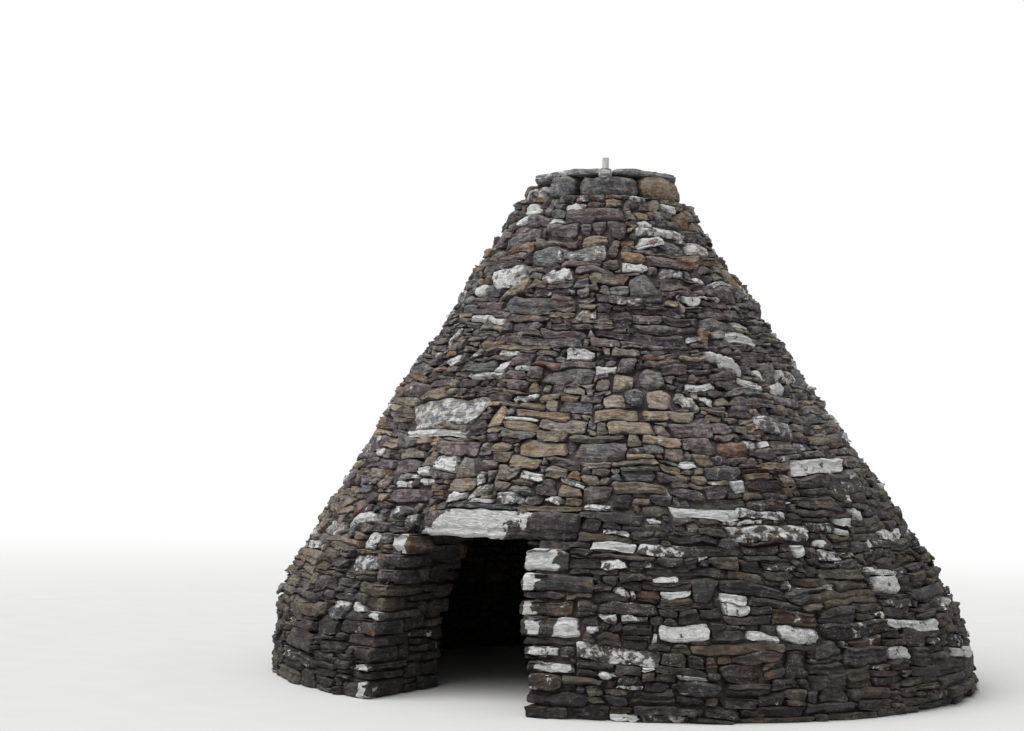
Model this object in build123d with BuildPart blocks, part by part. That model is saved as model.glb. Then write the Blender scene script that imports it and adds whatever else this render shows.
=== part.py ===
"""Corbelled drystone beehive hut: a round chamber of flat slabs laid in oversailing rings,
entered by a low lintelled passage and closed at the crown by slabs.

Millimetres, +Z up. The origin is the middle of the foot of the wall at ground level, and the
doorway faces -Y. The rings are twenty-sided, as straight slabs make them, and each course
is turned by half a side from the one under it, so that no joint stands over another.
"""

import os
from math import ceil, cos, degrees, radians, sin

from build123d import *

# Outer form of the wall
base_radius = 2860  # foot of the wall, to the corners of the ring
foot_height = 1100  # the face curves up to this height, and is straight above it
crown_radius = 708.5  # top of the wall, to the corners of the ring
crown_shift_x = -240  # how far the crown stands off the middle of the base
crown_shift_y = -80
ring_sides = 20
ring_turn = 4.5  # degrees from a corner on the X axis to the first course's nearest corner
course_ledge = 18  # how far each course sits back on the one below, outside

# Thickness of the wall, level through it
foot_thickness = 920
crown_thickness = 560

# Upright joints: where each segment starts, in degrees on plan, anticlockwise from +X
wall_joints = {
    "front_right": -90,
    "right": -30,
    "back_right": 30,
    "back_left": 90,
    "left": 150,
    "front_left": 210,
}
corbel_joints = (
    {"front": -135, "right": -45, "back": 45, "left": 135},
    {"front_right": -90, "back_right": 0, "back_left": 90, "front_left": 180},
    {"front": -135, "right": -45, "back": 45, "left": 135},
    {"right": -30, "left": 90, "front": 210},
    {"back": 0, "front": 180},
)
crown_joints = {"right": -90, "left": 90}
widest_step = 60  # degrees between two corners of the outline that a segment is cut by

# Heights of the bands that the wall is built in, and the courses of slabs in each
footing_height = 400
footing_courses = 2
door_height = 1170  # bed of the lintels
wall_courses = 5
corbel_height = 480
corbel_courses = 3
corbel_bands = len(corbel_joints)
crown_height = 290
crown_courses = 2

# Doorway: inclined jambs of big blocks through the whole wall
door_foot_width = 1280
door_head_width = 960
door_foot_middle = 100  # the doorway's middle, to the right of the hut's
door_head_middle = 40
plumb_height = 400  # the jambs stand plumb up to here
jamb_courses = 6
jamb_split = 3  # courses in the lower block of each jamb
jamb_reach = 1000  # from the hut's middle to the back of a jamb

# Lintels, from the outside in
lintel_setback = 82  # outer face of the outer lintel, behind the corners of the ring at its bed
lintel_depths = (300, 250, 240)
lintel_heights = (200, 140, 160)
lintel_left_ends = (570, 700, 720)
lintel_right_ends = (840, 740, 700)
left_return = (210, 110)  # the outer lintel's face turns back with the wall: along, and back
right_return = (340, 125)
left_slope = (200, 160)  # the outer lintel's upper corner is broken off: along, and up
left_shoulder = 370  # along, where its top is level again
lintel_chamfer = 14

# Crown: a slab over the smoke hole, rubble over it, a rim of blocks and thin cap slabs
closing_bearing = 83  # of the closing slab on the last corbel, beyond the smoke hole
pocket_sides = 24
closing_thickness = 100
rim_setback = 42  # behind the corners of the ring under it
rim_height = 155
rim_joint = 22  # open joint between two rim blocks
rim_corner = 30  # taken off the outer corners of a block, on plan
rim_chamfer = 16
rim_start = 15
rim_arcs = (41, 33, 45, 38, 44, 36, 26, 47, 50)  # degrees on plan, anticlockwise
hearting_clearance = 20  # rubble fill inside the rim blocks
cap_thickness = 80
cap_setback = 36  # behind the rim blocks
cap_sides = 8
cap_turn = 5.5
cap_joints = {"right": (-57, 110), "back": (53, 107), "left": (160, 143)}  # start and width
cap_joint = 14
cap_chamfer = 12

# Vent pipe through the crown
pipe_radius = 28
pipe_wall = 3
pipe_clearance = 0.3
pipe_stand = 175  # above the cap slabs
pipe_drop = 120  # below the closing slab

# Levels that follow from the heights
corbel_foot = door_height
crown_foot = corbel_foot + corbel_bands * corbel_height
rim_foot = crown_foot + crown_height
cap_foot = rim_foot + rim_height
cap_top = cap_foot + cap_thickness

# Inward run of the straight face for each unit of height
batter = (base_radius - crown_radius) / (rim_foot - foot_height / 2)

os.makedirs("parts", exist_ok=True)


def outer_radius(height):
    """Corner radius of the outer face: a curved foot that runs tangent into the batter."""
    if height < foot_height:
        return base_radius - batter * height**2 / (2 * foot_height)
    return base_radius - batter * (height - foot_height / 2)


def inner_radius(height):
    """Corner radius of the chamber, which the wall's thickness leaves."""
    thinning = (foot_thickness - crown_thickness) * height / crown_foot
    return outer_radius(height) - foot_thickness + thinning


def ring_centre(height):
    """Middle of a ring: the rings drift towards the crown's place as they rise."""
    share = height / cap_top
    return crown_shift_x * share, crown_shift_y * share


# Sizes that follow from the wall
beyond = 2 * base_radius  # past every face, for cutting tools
lintel_face = outer_radius(door_height) - lintel_setback
pocket_radius = inner_radius(crown_foot) + closing_bearing
rim_radius = outer_radius(rim_foot) - rim_setback
cap_radius = rim_radius - cap_setback
crown_centre = ring_centre(crown_foot)


def course_heights(foot, height, courses):
    """Level of each bed, from the foot of a band to its top."""
    return [foot + height * count / courses for count in range(courses + 1)]


def save(shape, label):
    """Names a finished piece and writes it."""
    shape.label = label
    export_step(shape, f"parts/{label}.step")


def ring_band(beds, first_course, hollow=True):
    """One band of the wall all round: battered courses outside, plumb oversailing ones inside."""
    with BuildPart() as band:
        for count, (bed, top) in enumerate(zip(beds, beds[1:])):
            turn = ring_turn + 180 / ring_sides * ((first_course + count) % 2)
            with BuildSketch(Plane.XY.offset(bed)):
                with Locations(ring_centre(bed)):
                    RegularPolygon(outer_radius(bed), ring_sides, rotation=turn)
            with BuildSketch(Plane.XY.offset(top)):
                with Locations(ring_centre(bed)):
                    RegularPolygon(outer_radius(top) + course_ledge, ring_sides, rotation=turn)
            loft()
            if hollow:
                with BuildSketch(Plane.XY.offset(bed)):
                    with Locations(ring_centre(bed)):
                        RegularPolygon(inner_radius(top), ring_sides, rotation=turn)
                extrude(amount=top - bed, mode=Mode.SUBTRACT)
    return band.part


def sector_outline(centre, start, arc):
    """Corners of a sector that reaches past the wall, on plan."""
    steps = ceil(arc / widest_step)
    angles = [radians(start + arc * step / steps) for step in range(steps + 1)]
    return [centre] + [
        (centre[0] + beyond * cos(angle), centre[1] + beyond * sin(angle)) for angle in angles
    ]


def segment(band, beds, start, arc):
    """The part of a band between two upright joints."""
    middle = ring_centre((beds[0] + beds[-1]) / 2)
    with BuildPart() as piece:
        add(band)
        with BuildSketch(Plane.XY.offset(beds[0])):
            Polygon(*sector_outline(middle, start, arc), align=None)
        extrude(amount=beds[-1] - beds[0], mode=Mode.INTERSECT)
    return piece.part


def rim_outline(start, arc):
    """Corners of a rim block on plan, about the middle of the crown: straight faces, open joints."""
    outer_gap = degrees(rim_joint / 2 / rim_radius)
    inner_gap = degrees(rim_joint / 2 / pocket_radius)
    corner = degrees(rim_corner / rim_radius)
    end = start + arc
    middle = start + arc / 2
    line = (
        (rim_radius - rim_corner, start + outer_gap),
        (rim_radius, start + outer_gap + corner),
        (rim_radius, middle),
        (rim_radius, end - outer_gap - corner),
        (rim_radius - rim_corner, end - outer_gap),
        (pocket_radius, end - inner_gap),
        (pocket_radius, middle),
        (pocket_radius, start + inner_gap),
    )
    return [
        (
            crown_centre[0] + radius * cos(radians(bearing)),
            crown_centre[1] + radius * sin(radians(bearing)),
        )
        for radius, bearing in line
    ]


def doorway_at(height, foot_size, head_size):
    """A size of the doorway: the jambs stand plumb at the foot, then lean in to the lintel."""
    lean = max(0, height - plumb_height) / (door_height - plumb_height)
    return foot_size + (head_size - foot_size) * lean


# Footing and wall, up to the bed of the lintels
footing_beds = course_heights(0, footing_height, footing_courses)
wall_beds = course_heights(footing_height, door_height - footing_height, wall_courses)
footing_band = ring_band(footing_beds, 0)
wall_band = ring_band(wall_beds, footing_courses)
jamb_beds = course_heights(0, door_height, jamb_courses)

with BuildPart() as passage:
    for bed, top in zip(jamb_beds, jamb_beds[1:]):
        width = doorway_at(top, door_foot_width, door_head_width)
        middle = doorway_at(top, door_foot_middle, door_head_middle)
        with BuildSketch(Plane.XY.offset(bed)):
            with Locations((middle, 0)):
                Rectangle(width, beyond, align=(Align.CENTER, Align.MAX))
        extrude(amount=top - bed)

with BuildPart() as jamb_zone:
    with BuildSketch():
        Rectangle(2 * jamb_reach, beyond, align=(Align.CENTER, Align.MAX))
    extrude(amount=door_height)

for band_name, band, beds in (
    ("footing", footing_band, footing_beds),
    ("wall", wall_band, wall_beds),
):
    for place, start in wall_joints.items():
        with BuildPart() as wall_segment:
            add(segment(band, beds, start, 360 / len(wall_joints)))
            if place.startswith("front"):
                add(jamb_zone.part, mode=Mode.SUBTRACT)
        save(wall_segment.part, f"{band_name}_{place}")

with BuildPart() as doorway_wall:
    add(footing_band)
    add(wall_band)
    add(jamb_zone.part, mode=Mode.INTERSECT)
    add(passage.part, mode=Mode.SUBTRACT)

jamb_levels = {"foot": (0, jamb_beds[jamb_split]), "head": (jamb_beds[jamb_split], door_height)}
for side, lean_to in (("left", Align.MAX), ("right", Align.MIN)):
    for block, (bed, top) in jamb_levels.items():
        with BuildPart() as jamb:
            add(doorway_wall.part)
            with BuildSketch(Plane.XY.offset(bed)):
                Rectangle(jamb_reach, beyond, align=(lean_to, Align.MAX))
            extrude(amount=top - bed, mode=Mode.INTERSECT)
        save(jamb.part, f"{side}_jamb_{block}")

# Lintels side by side through the wall
outer_left, outer_right = -lintel_left_ends[0], lintel_right_ends[0]
outer_back = lintel_depths[0] - lintel_face
lintel_top = door_height + lintel_heights[0]

# The outer lintel as it is seen from the front, run out past the wall: the bed it lies in
with BuildPart() as lintel_bed:
    with BuildSketch(Plane.XZ.offset(-outer_back)):
        Polygon(
            (outer_left, door_height),
            (outer_right, door_height),
            (outer_right, lintel_top),
            (outer_left + left_shoulder, lintel_top),
            (outer_left + left_slope[0], door_height + left_slope[1]),
            align=None,
        )
    extrude(amount=beyond)

with BuildPart() as outer_lintel:
    with BuildSketch(Plane.XY.offset(door_height)):
        Polygon(
            (outer_left, outer_back),
            (outer_left, left_return[1] - lintel_face),
            (outer_left + left_return[0], -lintel_face),
            (outer_right - right_return[0], -lintel_face),
            (outer_right, right_return[1] - lintel_face),
            (outer_right, outer_back),
            align=None,
        )
    extrude(amount=lintel_heights[0])
    front_faces = outer_lintel.faces().filter_by(lambda side: side.normal_at().Y < -0.5)
    chamfer(front_faces.edges().filter_by(Axis.Z, reverse=True), length=lintel_chamfer)
    add(lintel_bed.part, mode=Mode.INTERSECT)
save(outer_lintel.part, "outer_lintel")

inner_lintels = []
back = outer_back
for name, depth, height, left, right in zip(
    ("middle_lintel", "inner_lintel"),
    lintel_depths[1:],
    lintel_heights[1:],
    lintel_left_ends[1:],
    lintel_right_ends[1:],
):
    with BuildPart() as lintel:
        with BuildSketch(Plane.XY.offset(door_height)):
            with Locations((-left, back)):
                Rectangle(left + right, depth, align=Align.MIN)
        extrude(amount=height)
    inner_lintels.append(lintel.part)
    save(lintel.part, name)
    back += depth

# Corbelled bands above the doorway, with their upright joints staggered
for count, joints in enumerate(corbel_joints):
    foot = corbel_foot + count * corbel_height
    beds = course_heights(foot, corbel_height, corbel_courses)
    first_course = footing_courses + wall_courses + count * corbel_courses
    band = ring_band(beds, first_course)
    for place, start in joints.items():
        with BuildPart() as corbel:
            add(segment(band, beds, start, 360 / len(joints)))
            if count == 0 and place == "front":
                for cut in [lintel_bed.part] + inner_lintels:
                    add(cut, mode=Mode.SUBTRACT)
        save(corbel.part, f"corbel_{count + 1}_{place}")

# Crown ring, with the pocket that holds the closing slab
crown_beds = course_heights(crown_foot, crown_height, crown_courses)
crown_course = footing_courses + wall_courses + corbel_bands * corbel_courses
crown_band = ring_band(crown_beds, crown_course, hollow=False)
for place, start in crown_joints.items():
    with BuildPart() as crown:
        add(segment(crown_band, crown_beds, start, 360 / len(crown_joints)))
        with BuildSketch(Plane.XY.offset(crown_foot)):
            with Locations(crown_centre):
                RegularPolygon(pocket_radius, pocket_sides)
        extrude(amount=crown_height, mode=Mode.SUBTRACT)
    save(crown.part, f"crown_{place}")

with BuildPart() as pipe_bore:
    with BuildSketch(Plane.XY.offset(crown_foot)):
        with Locations(crown_centre):
            Circle(pipe_radius + pipe_clearance)
    extrude(amount=cap_top - crown_foot)

with BuildPart() as closing_slab:
    with BuildSketch(Plane.XY.offset(crown_foot)):
        with Locations(crown_centre):
            RegularPolygon(pocket_radius, pocket_sides)
    extrude(amount=closing_thickness)
    add(pipe_bore.part, mode=Mode.SUBTRACT)
save(closing_slab.part, "closing_slab")

with BuildPart() as hearting:
    with BuildSketch(Plane.XY.offset(crown_foot + closing_thickness)):
        with Locations(crown_centre):
            RegularPolygon(pocket_radius, pocket_sides)
    extrude(amount=crown_height - closing_thickness)
    with BuildSketch(Plane.XY.offset(rim_foot)):
        with Locations(crown_centre):
            RegularPolygon(pocket_radius - hearting_clearance, pocket_sides)
    extrude(amount=rim_height)
    add(pipe_bore.part, mode=Mode.SUBTRACT)
save(hearting.part, "crown_hearting")

# Rim blocks, apart by open joints
with BuildPart() as rim:
    turned = rim_start
    for arc in rim_arcs:
        with BuildSketch(Plane.XY.offset(rim_foot)):
            Polygon(*rim_outline(turned, arc), align=None)
        extrude(amount=rim_height)
        turned += arc
    chamfer(rim.faces().filter_by(Axis.Z).group_by(Axis.Z)[-1].edges(), length=rim_chamfer)
save(rim.part, "rim_blocks")

# Cap slabs, split by joints that meet at the pipe
with BuildPart() as cap:
    with BuildSketch(Plane.XY.offset(cap_foot)):
        with Locations(crown_centre):
            RegularPolygon(cap_radius, cap_sides, rotation=cap_turn)
    extrude(amount=cap_thickness)
    add(pipe_bore.part, mode=Mode.SUBTRACT)

for place, (start, arc) in cap_joints.items():
    with BuildPart() as cap_slab:
        add(cap.part)
        with BuildSketch(Plane.XY.offset(cap_foot)):
            outline = sector_outline(crown_centre, start, arc)
            Polygon(*outline, align=None)
            offset(amount=-cap_joint / 2, kind=Kind.INTERSECTION, mode=Mode.REPLACE)
        extrude(amount=cap_thickness, mode=Mode.INTERSECT)
        upper_edges = cap_slab.faces().filter_by(Axis.Z).sort_by(Axis.Z)[-1].outer_wire().edges()
        chamfer(upper_edges.filter_by(GeomType.LINE), length=cap_chamfer)
    save(cap_slab.part, f"cap_slab_{place}")

with BuildPart() as vent_pipe:
    with BuildSketch(Plane.XY.offset(crown_foot - pipe_drop)):
        with Locations(crown_centre):
            Circle(pipe_radius)
            Circle(pipe_radius - pipe_wall, mode=Mode.SUBTRACT)
    extrude(amount=cap_top + pipe_stand - crown_foot + pipe_drop)
save(vent_pipe.part, "vent_pipe")
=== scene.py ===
import math

import bpy
import numpy as np
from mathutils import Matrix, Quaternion, Vector, noise
from mathutils.bvhtree import BVHTree


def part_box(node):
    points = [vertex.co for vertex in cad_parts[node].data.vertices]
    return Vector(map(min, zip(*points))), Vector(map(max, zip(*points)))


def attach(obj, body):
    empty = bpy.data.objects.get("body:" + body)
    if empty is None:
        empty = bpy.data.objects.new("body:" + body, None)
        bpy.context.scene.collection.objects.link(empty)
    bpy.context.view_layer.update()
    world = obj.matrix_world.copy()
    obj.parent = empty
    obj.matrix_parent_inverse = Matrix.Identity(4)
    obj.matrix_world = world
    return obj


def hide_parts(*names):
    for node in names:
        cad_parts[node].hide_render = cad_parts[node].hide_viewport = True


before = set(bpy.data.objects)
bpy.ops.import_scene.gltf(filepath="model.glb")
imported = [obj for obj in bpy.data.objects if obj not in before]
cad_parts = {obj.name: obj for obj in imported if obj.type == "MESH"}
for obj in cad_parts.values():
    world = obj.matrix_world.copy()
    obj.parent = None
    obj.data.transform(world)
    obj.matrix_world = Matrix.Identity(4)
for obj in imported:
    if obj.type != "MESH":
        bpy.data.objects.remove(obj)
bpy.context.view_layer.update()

print("frame loaded:", len(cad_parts), "nodes")


def newObject(name, data):
    made = bpy.data.objects.new(name, data)
    bpy.context.collection.objects.link(made)
    return made


def clamped(value, low=0, high=1):
    return min(high, max(low, value))


def wayTo(bearing):  # a level direction
    return Vector((math.cos(bearing), math.sin(bearing), 0))


def stretched(values, places):  # values that lie evenly from 0 to 1, read at other places
    return np.interp(places, np.linspace(0, 1, len(values)), values)


# the camera comes first, because some stones are placed by where the photo shows them
# (focal, footAcross, horizon and the image's size are in the photo's pixels, angles in degrees)
view = {"bearing": 28.0, "distance": 15.0, "height": 1.8, "focal": 1800.0, "footAcross": 627.0,
        "horizon": 450.0, "roll": 1.5, "imageWide": 1024, "imageTall": 731, "sensor": 36.0, "farthest": 400}


def placeCamera():
    turn = math.radians(view["bearing"])
    eye = Vector((math.sin(turn) * view["distance"], -math.cos(turn) * view["distance"], view["height"]))
    aside = math.atan((view["footAcross"] - view["imageWide"] / 2) / view["focal"])
    up = math.atan((view["horizon"] - view["imageTall"] / 2) / view["focal"])
    heading = math.atan2(-eye.y, -eye.x) + aside
    ahead = Vector((math.cos(heading) * math.cos(up), math.sin(heading) * math.cos(up), math.sin(up)))
    camera = newObject("camera", bpy.data.cameras.new("camera"))
    camera.data.sensor_width = view["sensor"]
    camera.data.lens = view["sensor"] * view["focal"] / view["imageWide"]
    camera.data.clip_end = view["farthest"]
    camera.location = eye
    camera.rotation_mode = "QUATERNION"
    camera.rotation_quaternion = (ahead.to_track_quat("-Z", "Y")
                                  @ Quaternion((0, 0, 1), math.radians(view["roll"])))
    bpy.context.scene.camera = camera
    return camera


camera = placeCamera()


def sightLine(across, down):
    x = (across - view["imageWide"] / 2) / view["focal"]
    y = (view["imageTall"] / 2 - down) / view["focal"]
    return (camera.rotation_quaternion @ Vector((x, y, -1))).normalized()


# the wall's own line, found by rays on the frame, so that every stone follows the solids
survey = {"firstLevel": 0.03, "levelStep": 0.05, "bearings": 72, "doorHalf": 32, "doorBearing": -90,
          "doorClear": 0.3, "startOut": 9, "topClear": 0.01, "doorFrom": 0.02, "insideDoor": -2.25,
          "slopeReach": 0.1, "sightFrom": 9.0, "sightTo": 20.0, "sightHalvings": 10}


def treeOf(names):
    points, faces, owners = [], [], []
    for name in names:
        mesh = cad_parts[name].data
        first = len(points)
        points += [vertex.co.copy() for vertex in mesh.vertices]
        for face in mesh.polygons:
            faces.append([first + index for index in face.vertices])
            owners.append(name)
    return BVHTree.FromPolygons(points, faces), owners


def circleThrough(points):
    points = np.array(points)
    rows = np.column_stack((2 * points, np.ones(len(points))))
    x, y, rest = np.linalg.lstsq(rows, (points ** 2).sum(axis=1), rcond=None)[0]
    return x, y, math.sqrt(rest + x * x + y * y)


wallNames = [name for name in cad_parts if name.split("_")[0] in ("footing", "wall", "corbel", "crown")
             and name != "crown_hearting"] + [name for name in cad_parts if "jamb" in name]
wallTree, wallOwners = treeOf(wallNames)
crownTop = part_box("crown_left")[1][2]
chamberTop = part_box("closing_slab")[0][2]
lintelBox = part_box("outer_lintel")
doorTop = lintelBox[0][2]


def surveyWall(inside):
    levels, circles = [], []
    level = survey["firstLevel"]
    middle = (0, 0)
    while level < (chamberTop if inside else crownTop) - survey["topClear"]:
        hits = []
        for count in range(survey["bearings"]):
            bearing = 360 * count / survey["bearings"] - 180
            nearDoor = abs((bearing - survey["doorBearing"] + 180) % 360 - 180) < survey["doorHalf"]
            if nearDoor and level < doorTop + survey["doorClear"]:
                continue
            way = wayTo(math.radians(bearing))
            if inside:
                hit = wallTree.ray_cast(Vector((*middle, level)), way)[0]
            else:
                hit = wallTree.ray_cast(way * survey["startOut"] + Vector((0, 0, level)), -way)[0]
            if hit:
                hits.append((hit.x, hit.y))
        circle = circleThrough(hits)
        middle = circle[:2]
        levels.append(level)
        circles.append(circle)
        level += survey["levelStep"]
    circles = np.array(circles)
    smooth = circles.copy()
    for at in range(1, len(circles) - 1):
        smooth[at] = circles[max(0, at - 1):at + 2].mean(axis=0)
    return np.array(levels), smooth


outerLine = surveyWall(False)
innerLine = surveyWall(True)


def ringAt(line, level):
    levels, circles = line
    return tuple(float(np.interp(level, levels, circles[:, part])) for part in range(3))


def slopeAt(line, level):
    reach = survey["slopeReach"]
    return (ringAt(line, level - reach)[2] - ringAt(line, level + reach)[2]) / (2 * reach)


def surveyDoor():
    levels = np.arange(survey["doorFrom"], doorTop, survey["levelStep"])
    sides = {}
    for side in (-1, 1):
        hits = [wallTree.ray_cast(Vector((0, survey["insideDoor"], level)), Vector((side, 0, 0)))[0].x
                for level in levels]
        sides[side] = np.convolve(np.pad(hits, 2, mode="edge"), np.ones(5) / 5, mode="valid")
    return levels, sides


doorLevels, doorSides = surveyDoor()


def doorSideAt(side, level):  # where the doorway's left side, -1, or right side, 1, stands
    return float(np.interp(level, doorLevels, doorSides[side]))


def inDoorway(x, level):
    return doorSideAt(-1, level) <= x <= doorSideAt(1, level)


def pointOn(line, bearing, level):
    x, y, radius = ringAt(line, level)
    return x + radius * math.cos(bearing), y + radius * math.sin(bearing)


def onWall(across, down):  # bearing and height where a line of sight meets the wall
    way = sightLine(across, down)
    near, far = survey["sightFrom"], survey["sightTo"]
    for reach in np.arange(near, far, survey["levelStep"]):
        point = camera.location + way * reach
        x, y, radius = ringAt(outerLine, point.z)
        if math.hypot(point.x - x, point.y - y) < radius and point.z < crownTop:
            near, far = reach - survey["levelStep"], reach
            break
    else:
        return None
    for _ in range(survey["sightHalvings"]):
        reach = (near + far) / 2
        point = camera.location + way * reach
        x, y, radius = ringAt(outerLine, point.z)
        near, far = (near, reach) if math.hypot(point.x - x, point.y - y) < radius else (reach, far)
    return math.atan2(point.y - y, point.x - x), point.z, reach


print("wall surveyed: radius at the foot", round(ringAt(outerLine, 0)[2], 3),
      "and at the crown", round(ringAt(outerLine, crownTop)[2], 3))


# shader writing: a socket that can stand in a sum, and one method that makes any other node
class Value:
    def __init__(self, maker, socket):
        self.maker, self.socket = maker, socket

    def other(self, result):
        return Value(self.maker, self.socket.node.outputs[result])

    def maths(self, operation, first, second=0.0):
        return self.maker.node("ShaderNodeMath", {"operation": operation}, {0: first, 1: second})

    def __add__(self, other):
        return self.maths("ADD", self, other)

    __radd__ = __add__

    def __sub__(self, other):
        return self.maths("SUBTRACT", self, other)

    def __rsub__(self, other):
        return self.maths("SUBTRACT", other, self)

    def __mul__(self, other):
        return self.maths("MULTIPLY", self, other)

    __rmul__ = __mul__


class Maker:
    def __init__(self, owner):  # owner is a new material or world
        owner.use_nodes = True
        self.owner, self.tree = owner, owner.node_tree
        self.tree.nodes.clear()

    def node(self, kind, settings, sockets, result=0):
        made = self.tree.nodes.new(kind)
        for key, value in settings.items():
            if key == "stops":
                ramp = made.color_ramp
                while len(ramp.elements) < len(value):
                    ramp.elements.new(0.5)
                for element, (place, colour) in zip(ramp.elements, value):
                    element.position, element.color = place, (*colour, 1)
            else:
                setattr(made, key, value)
        for key, value in sockets.items():
            if isinstance(value, Value):
                self.tree.links.new(value.socket, made.inputs[key])
            else:
                made.inputs[key].default_value = value
        return Value(self, made.outputs[result]) if made.outputs else None

    def colour(self, red, green, blue):
        return (red, green, blue, 1)

    def mix(self, share, first, second, blend="MIX"):
        settings = {"data_type": "RGBA", "blend_type": blend, "clamp_factor": True}
        return self.node("ShaderNodeMix", settings, {0: share, 6: first, 7: second}, 2)

    def step(self, value, low, high):
        settings = {"interpolation_type": "SMOOTHSTEP"}
        return self.node("ShaderNodeMapRange", settings, {0: value, 1: low, 2: high})

    def vector(self, operation, first, second):
        return self.node("ShaderNodeVectorMath", {"operation": operation}, {0: first, 1: second})

    def noise(self, place, scale, detail=3.0, roughness=0.55, distortion=0.0):
        sockets = {"Vector": place, "Scale": scale, "Detail": detail, "Roughness": roughness,
                   "Distortion": distortion}
        return self.node("ShaderNodeTexNoise", {}, sockets)

    def finish(self, sockets):
        shader = self.node("ShaderNodeBsdfPrincipled", {}, sockets)
        self.node("ShaderNodeOutputMaterial", {}, {"Surface": shader})
        return self.owner


# colours of the sandstone and what has settled on it; rock runs from dark purple to rust; a noise is
# scale, detail, roughness and distortion, and a name with At is where a step starts and ends
stoneFinish = {
    "bedding": 3.6, "fineBedding": 9.0, "layerStretch": 4.6,
    "broad": (6.0, 4.0, 0.6), "layers": (26.0, 6.0, 0.72, 0.5), "streaks": (9.0, 5.0, 0.66, 0.4),
    "grain": (150.0, 3.0, 0.7), "crustNoise": (14.0, 6.0, 0.66, 0.3), "stain": (1.5, 3.0, 0.6),
    "layer": (9.0, 3.0, 0.62, 0.25), "speckScale": 42.0,
    "mottleAt": (0.30, 0.70), "linesAt": (0.30, 0.62), "patchesAt": (0.36, 0.60),
    "layerAt": (0.36, 0.64), "flakyAt": (0.45, 0.85), "rustAt": (0.88, 1.0), "dustAndHighlightAt": (0.74, 1.02),
    "crustAt": (0.55, 0.63), "oliveAt": (0.74, 0.92), "paleAt": (0.90, 0.97), "speckAt": (0.16, 0.24),
    "specksAt": (0.56, 0.66), "relief": 0.016,
    "rock": [(0.0, (0.090, 0.065, 0.076)), (0.20, (0.136, 0.102, 0.110)), (0.38, (0.192, 0.146, 0.126)),
             (0.52, (0.140, 0.147, 0.160)), (0.66, (0.240, 0.202, 0.162)), (0.80, (0.318, 0.250, 0.170)),
             (0.92, (0.226, 0.144, 0.096)), (1.0, (0.230, 0.120, 0.072))],
    "split": 0.036, "splitShade": 0.62,
    # the tops of the stones take a light dusting and a painted highlight, their feet a painted shade
    "dustAndHighlightOnTop": (0.320, 0.288, 0.266), "shadeBelow": 0.40,
    "lowDarkening": 0.75, "darkeningFrom": 0.6, "darkeningTo": 1.9, "darkeningSide": 0.30,
    "crust": (0.340, 0.332, 0.318), "crustShare": 0.62,
    "rust": 0.45, "rustColour": (0.225, 0.112, 0.056),
    "olive": 0.30, "oliveDark": (0.040, 0.040, 0.018), "oliveLight": (0.110, 0.108, 0.046),
    "lichenGrey": (0.44, 0.44, 0.42), "lichenWhite": (0.90, 0.905, 0.88),
}
# the earth in the joints, coloured near-black: partly its own colour, partly painted shade
jointFinish = {
    "dark": (0.032, 0.025, 0.027), "light": (0.108, 0.086, 0.084), "olive": (0.070, 0.064, 0.036),
}
pipeFinish = {"clean": (0.70, 0.695, 0.71), "grime": (0.42, 0.41, 0.40)}


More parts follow.
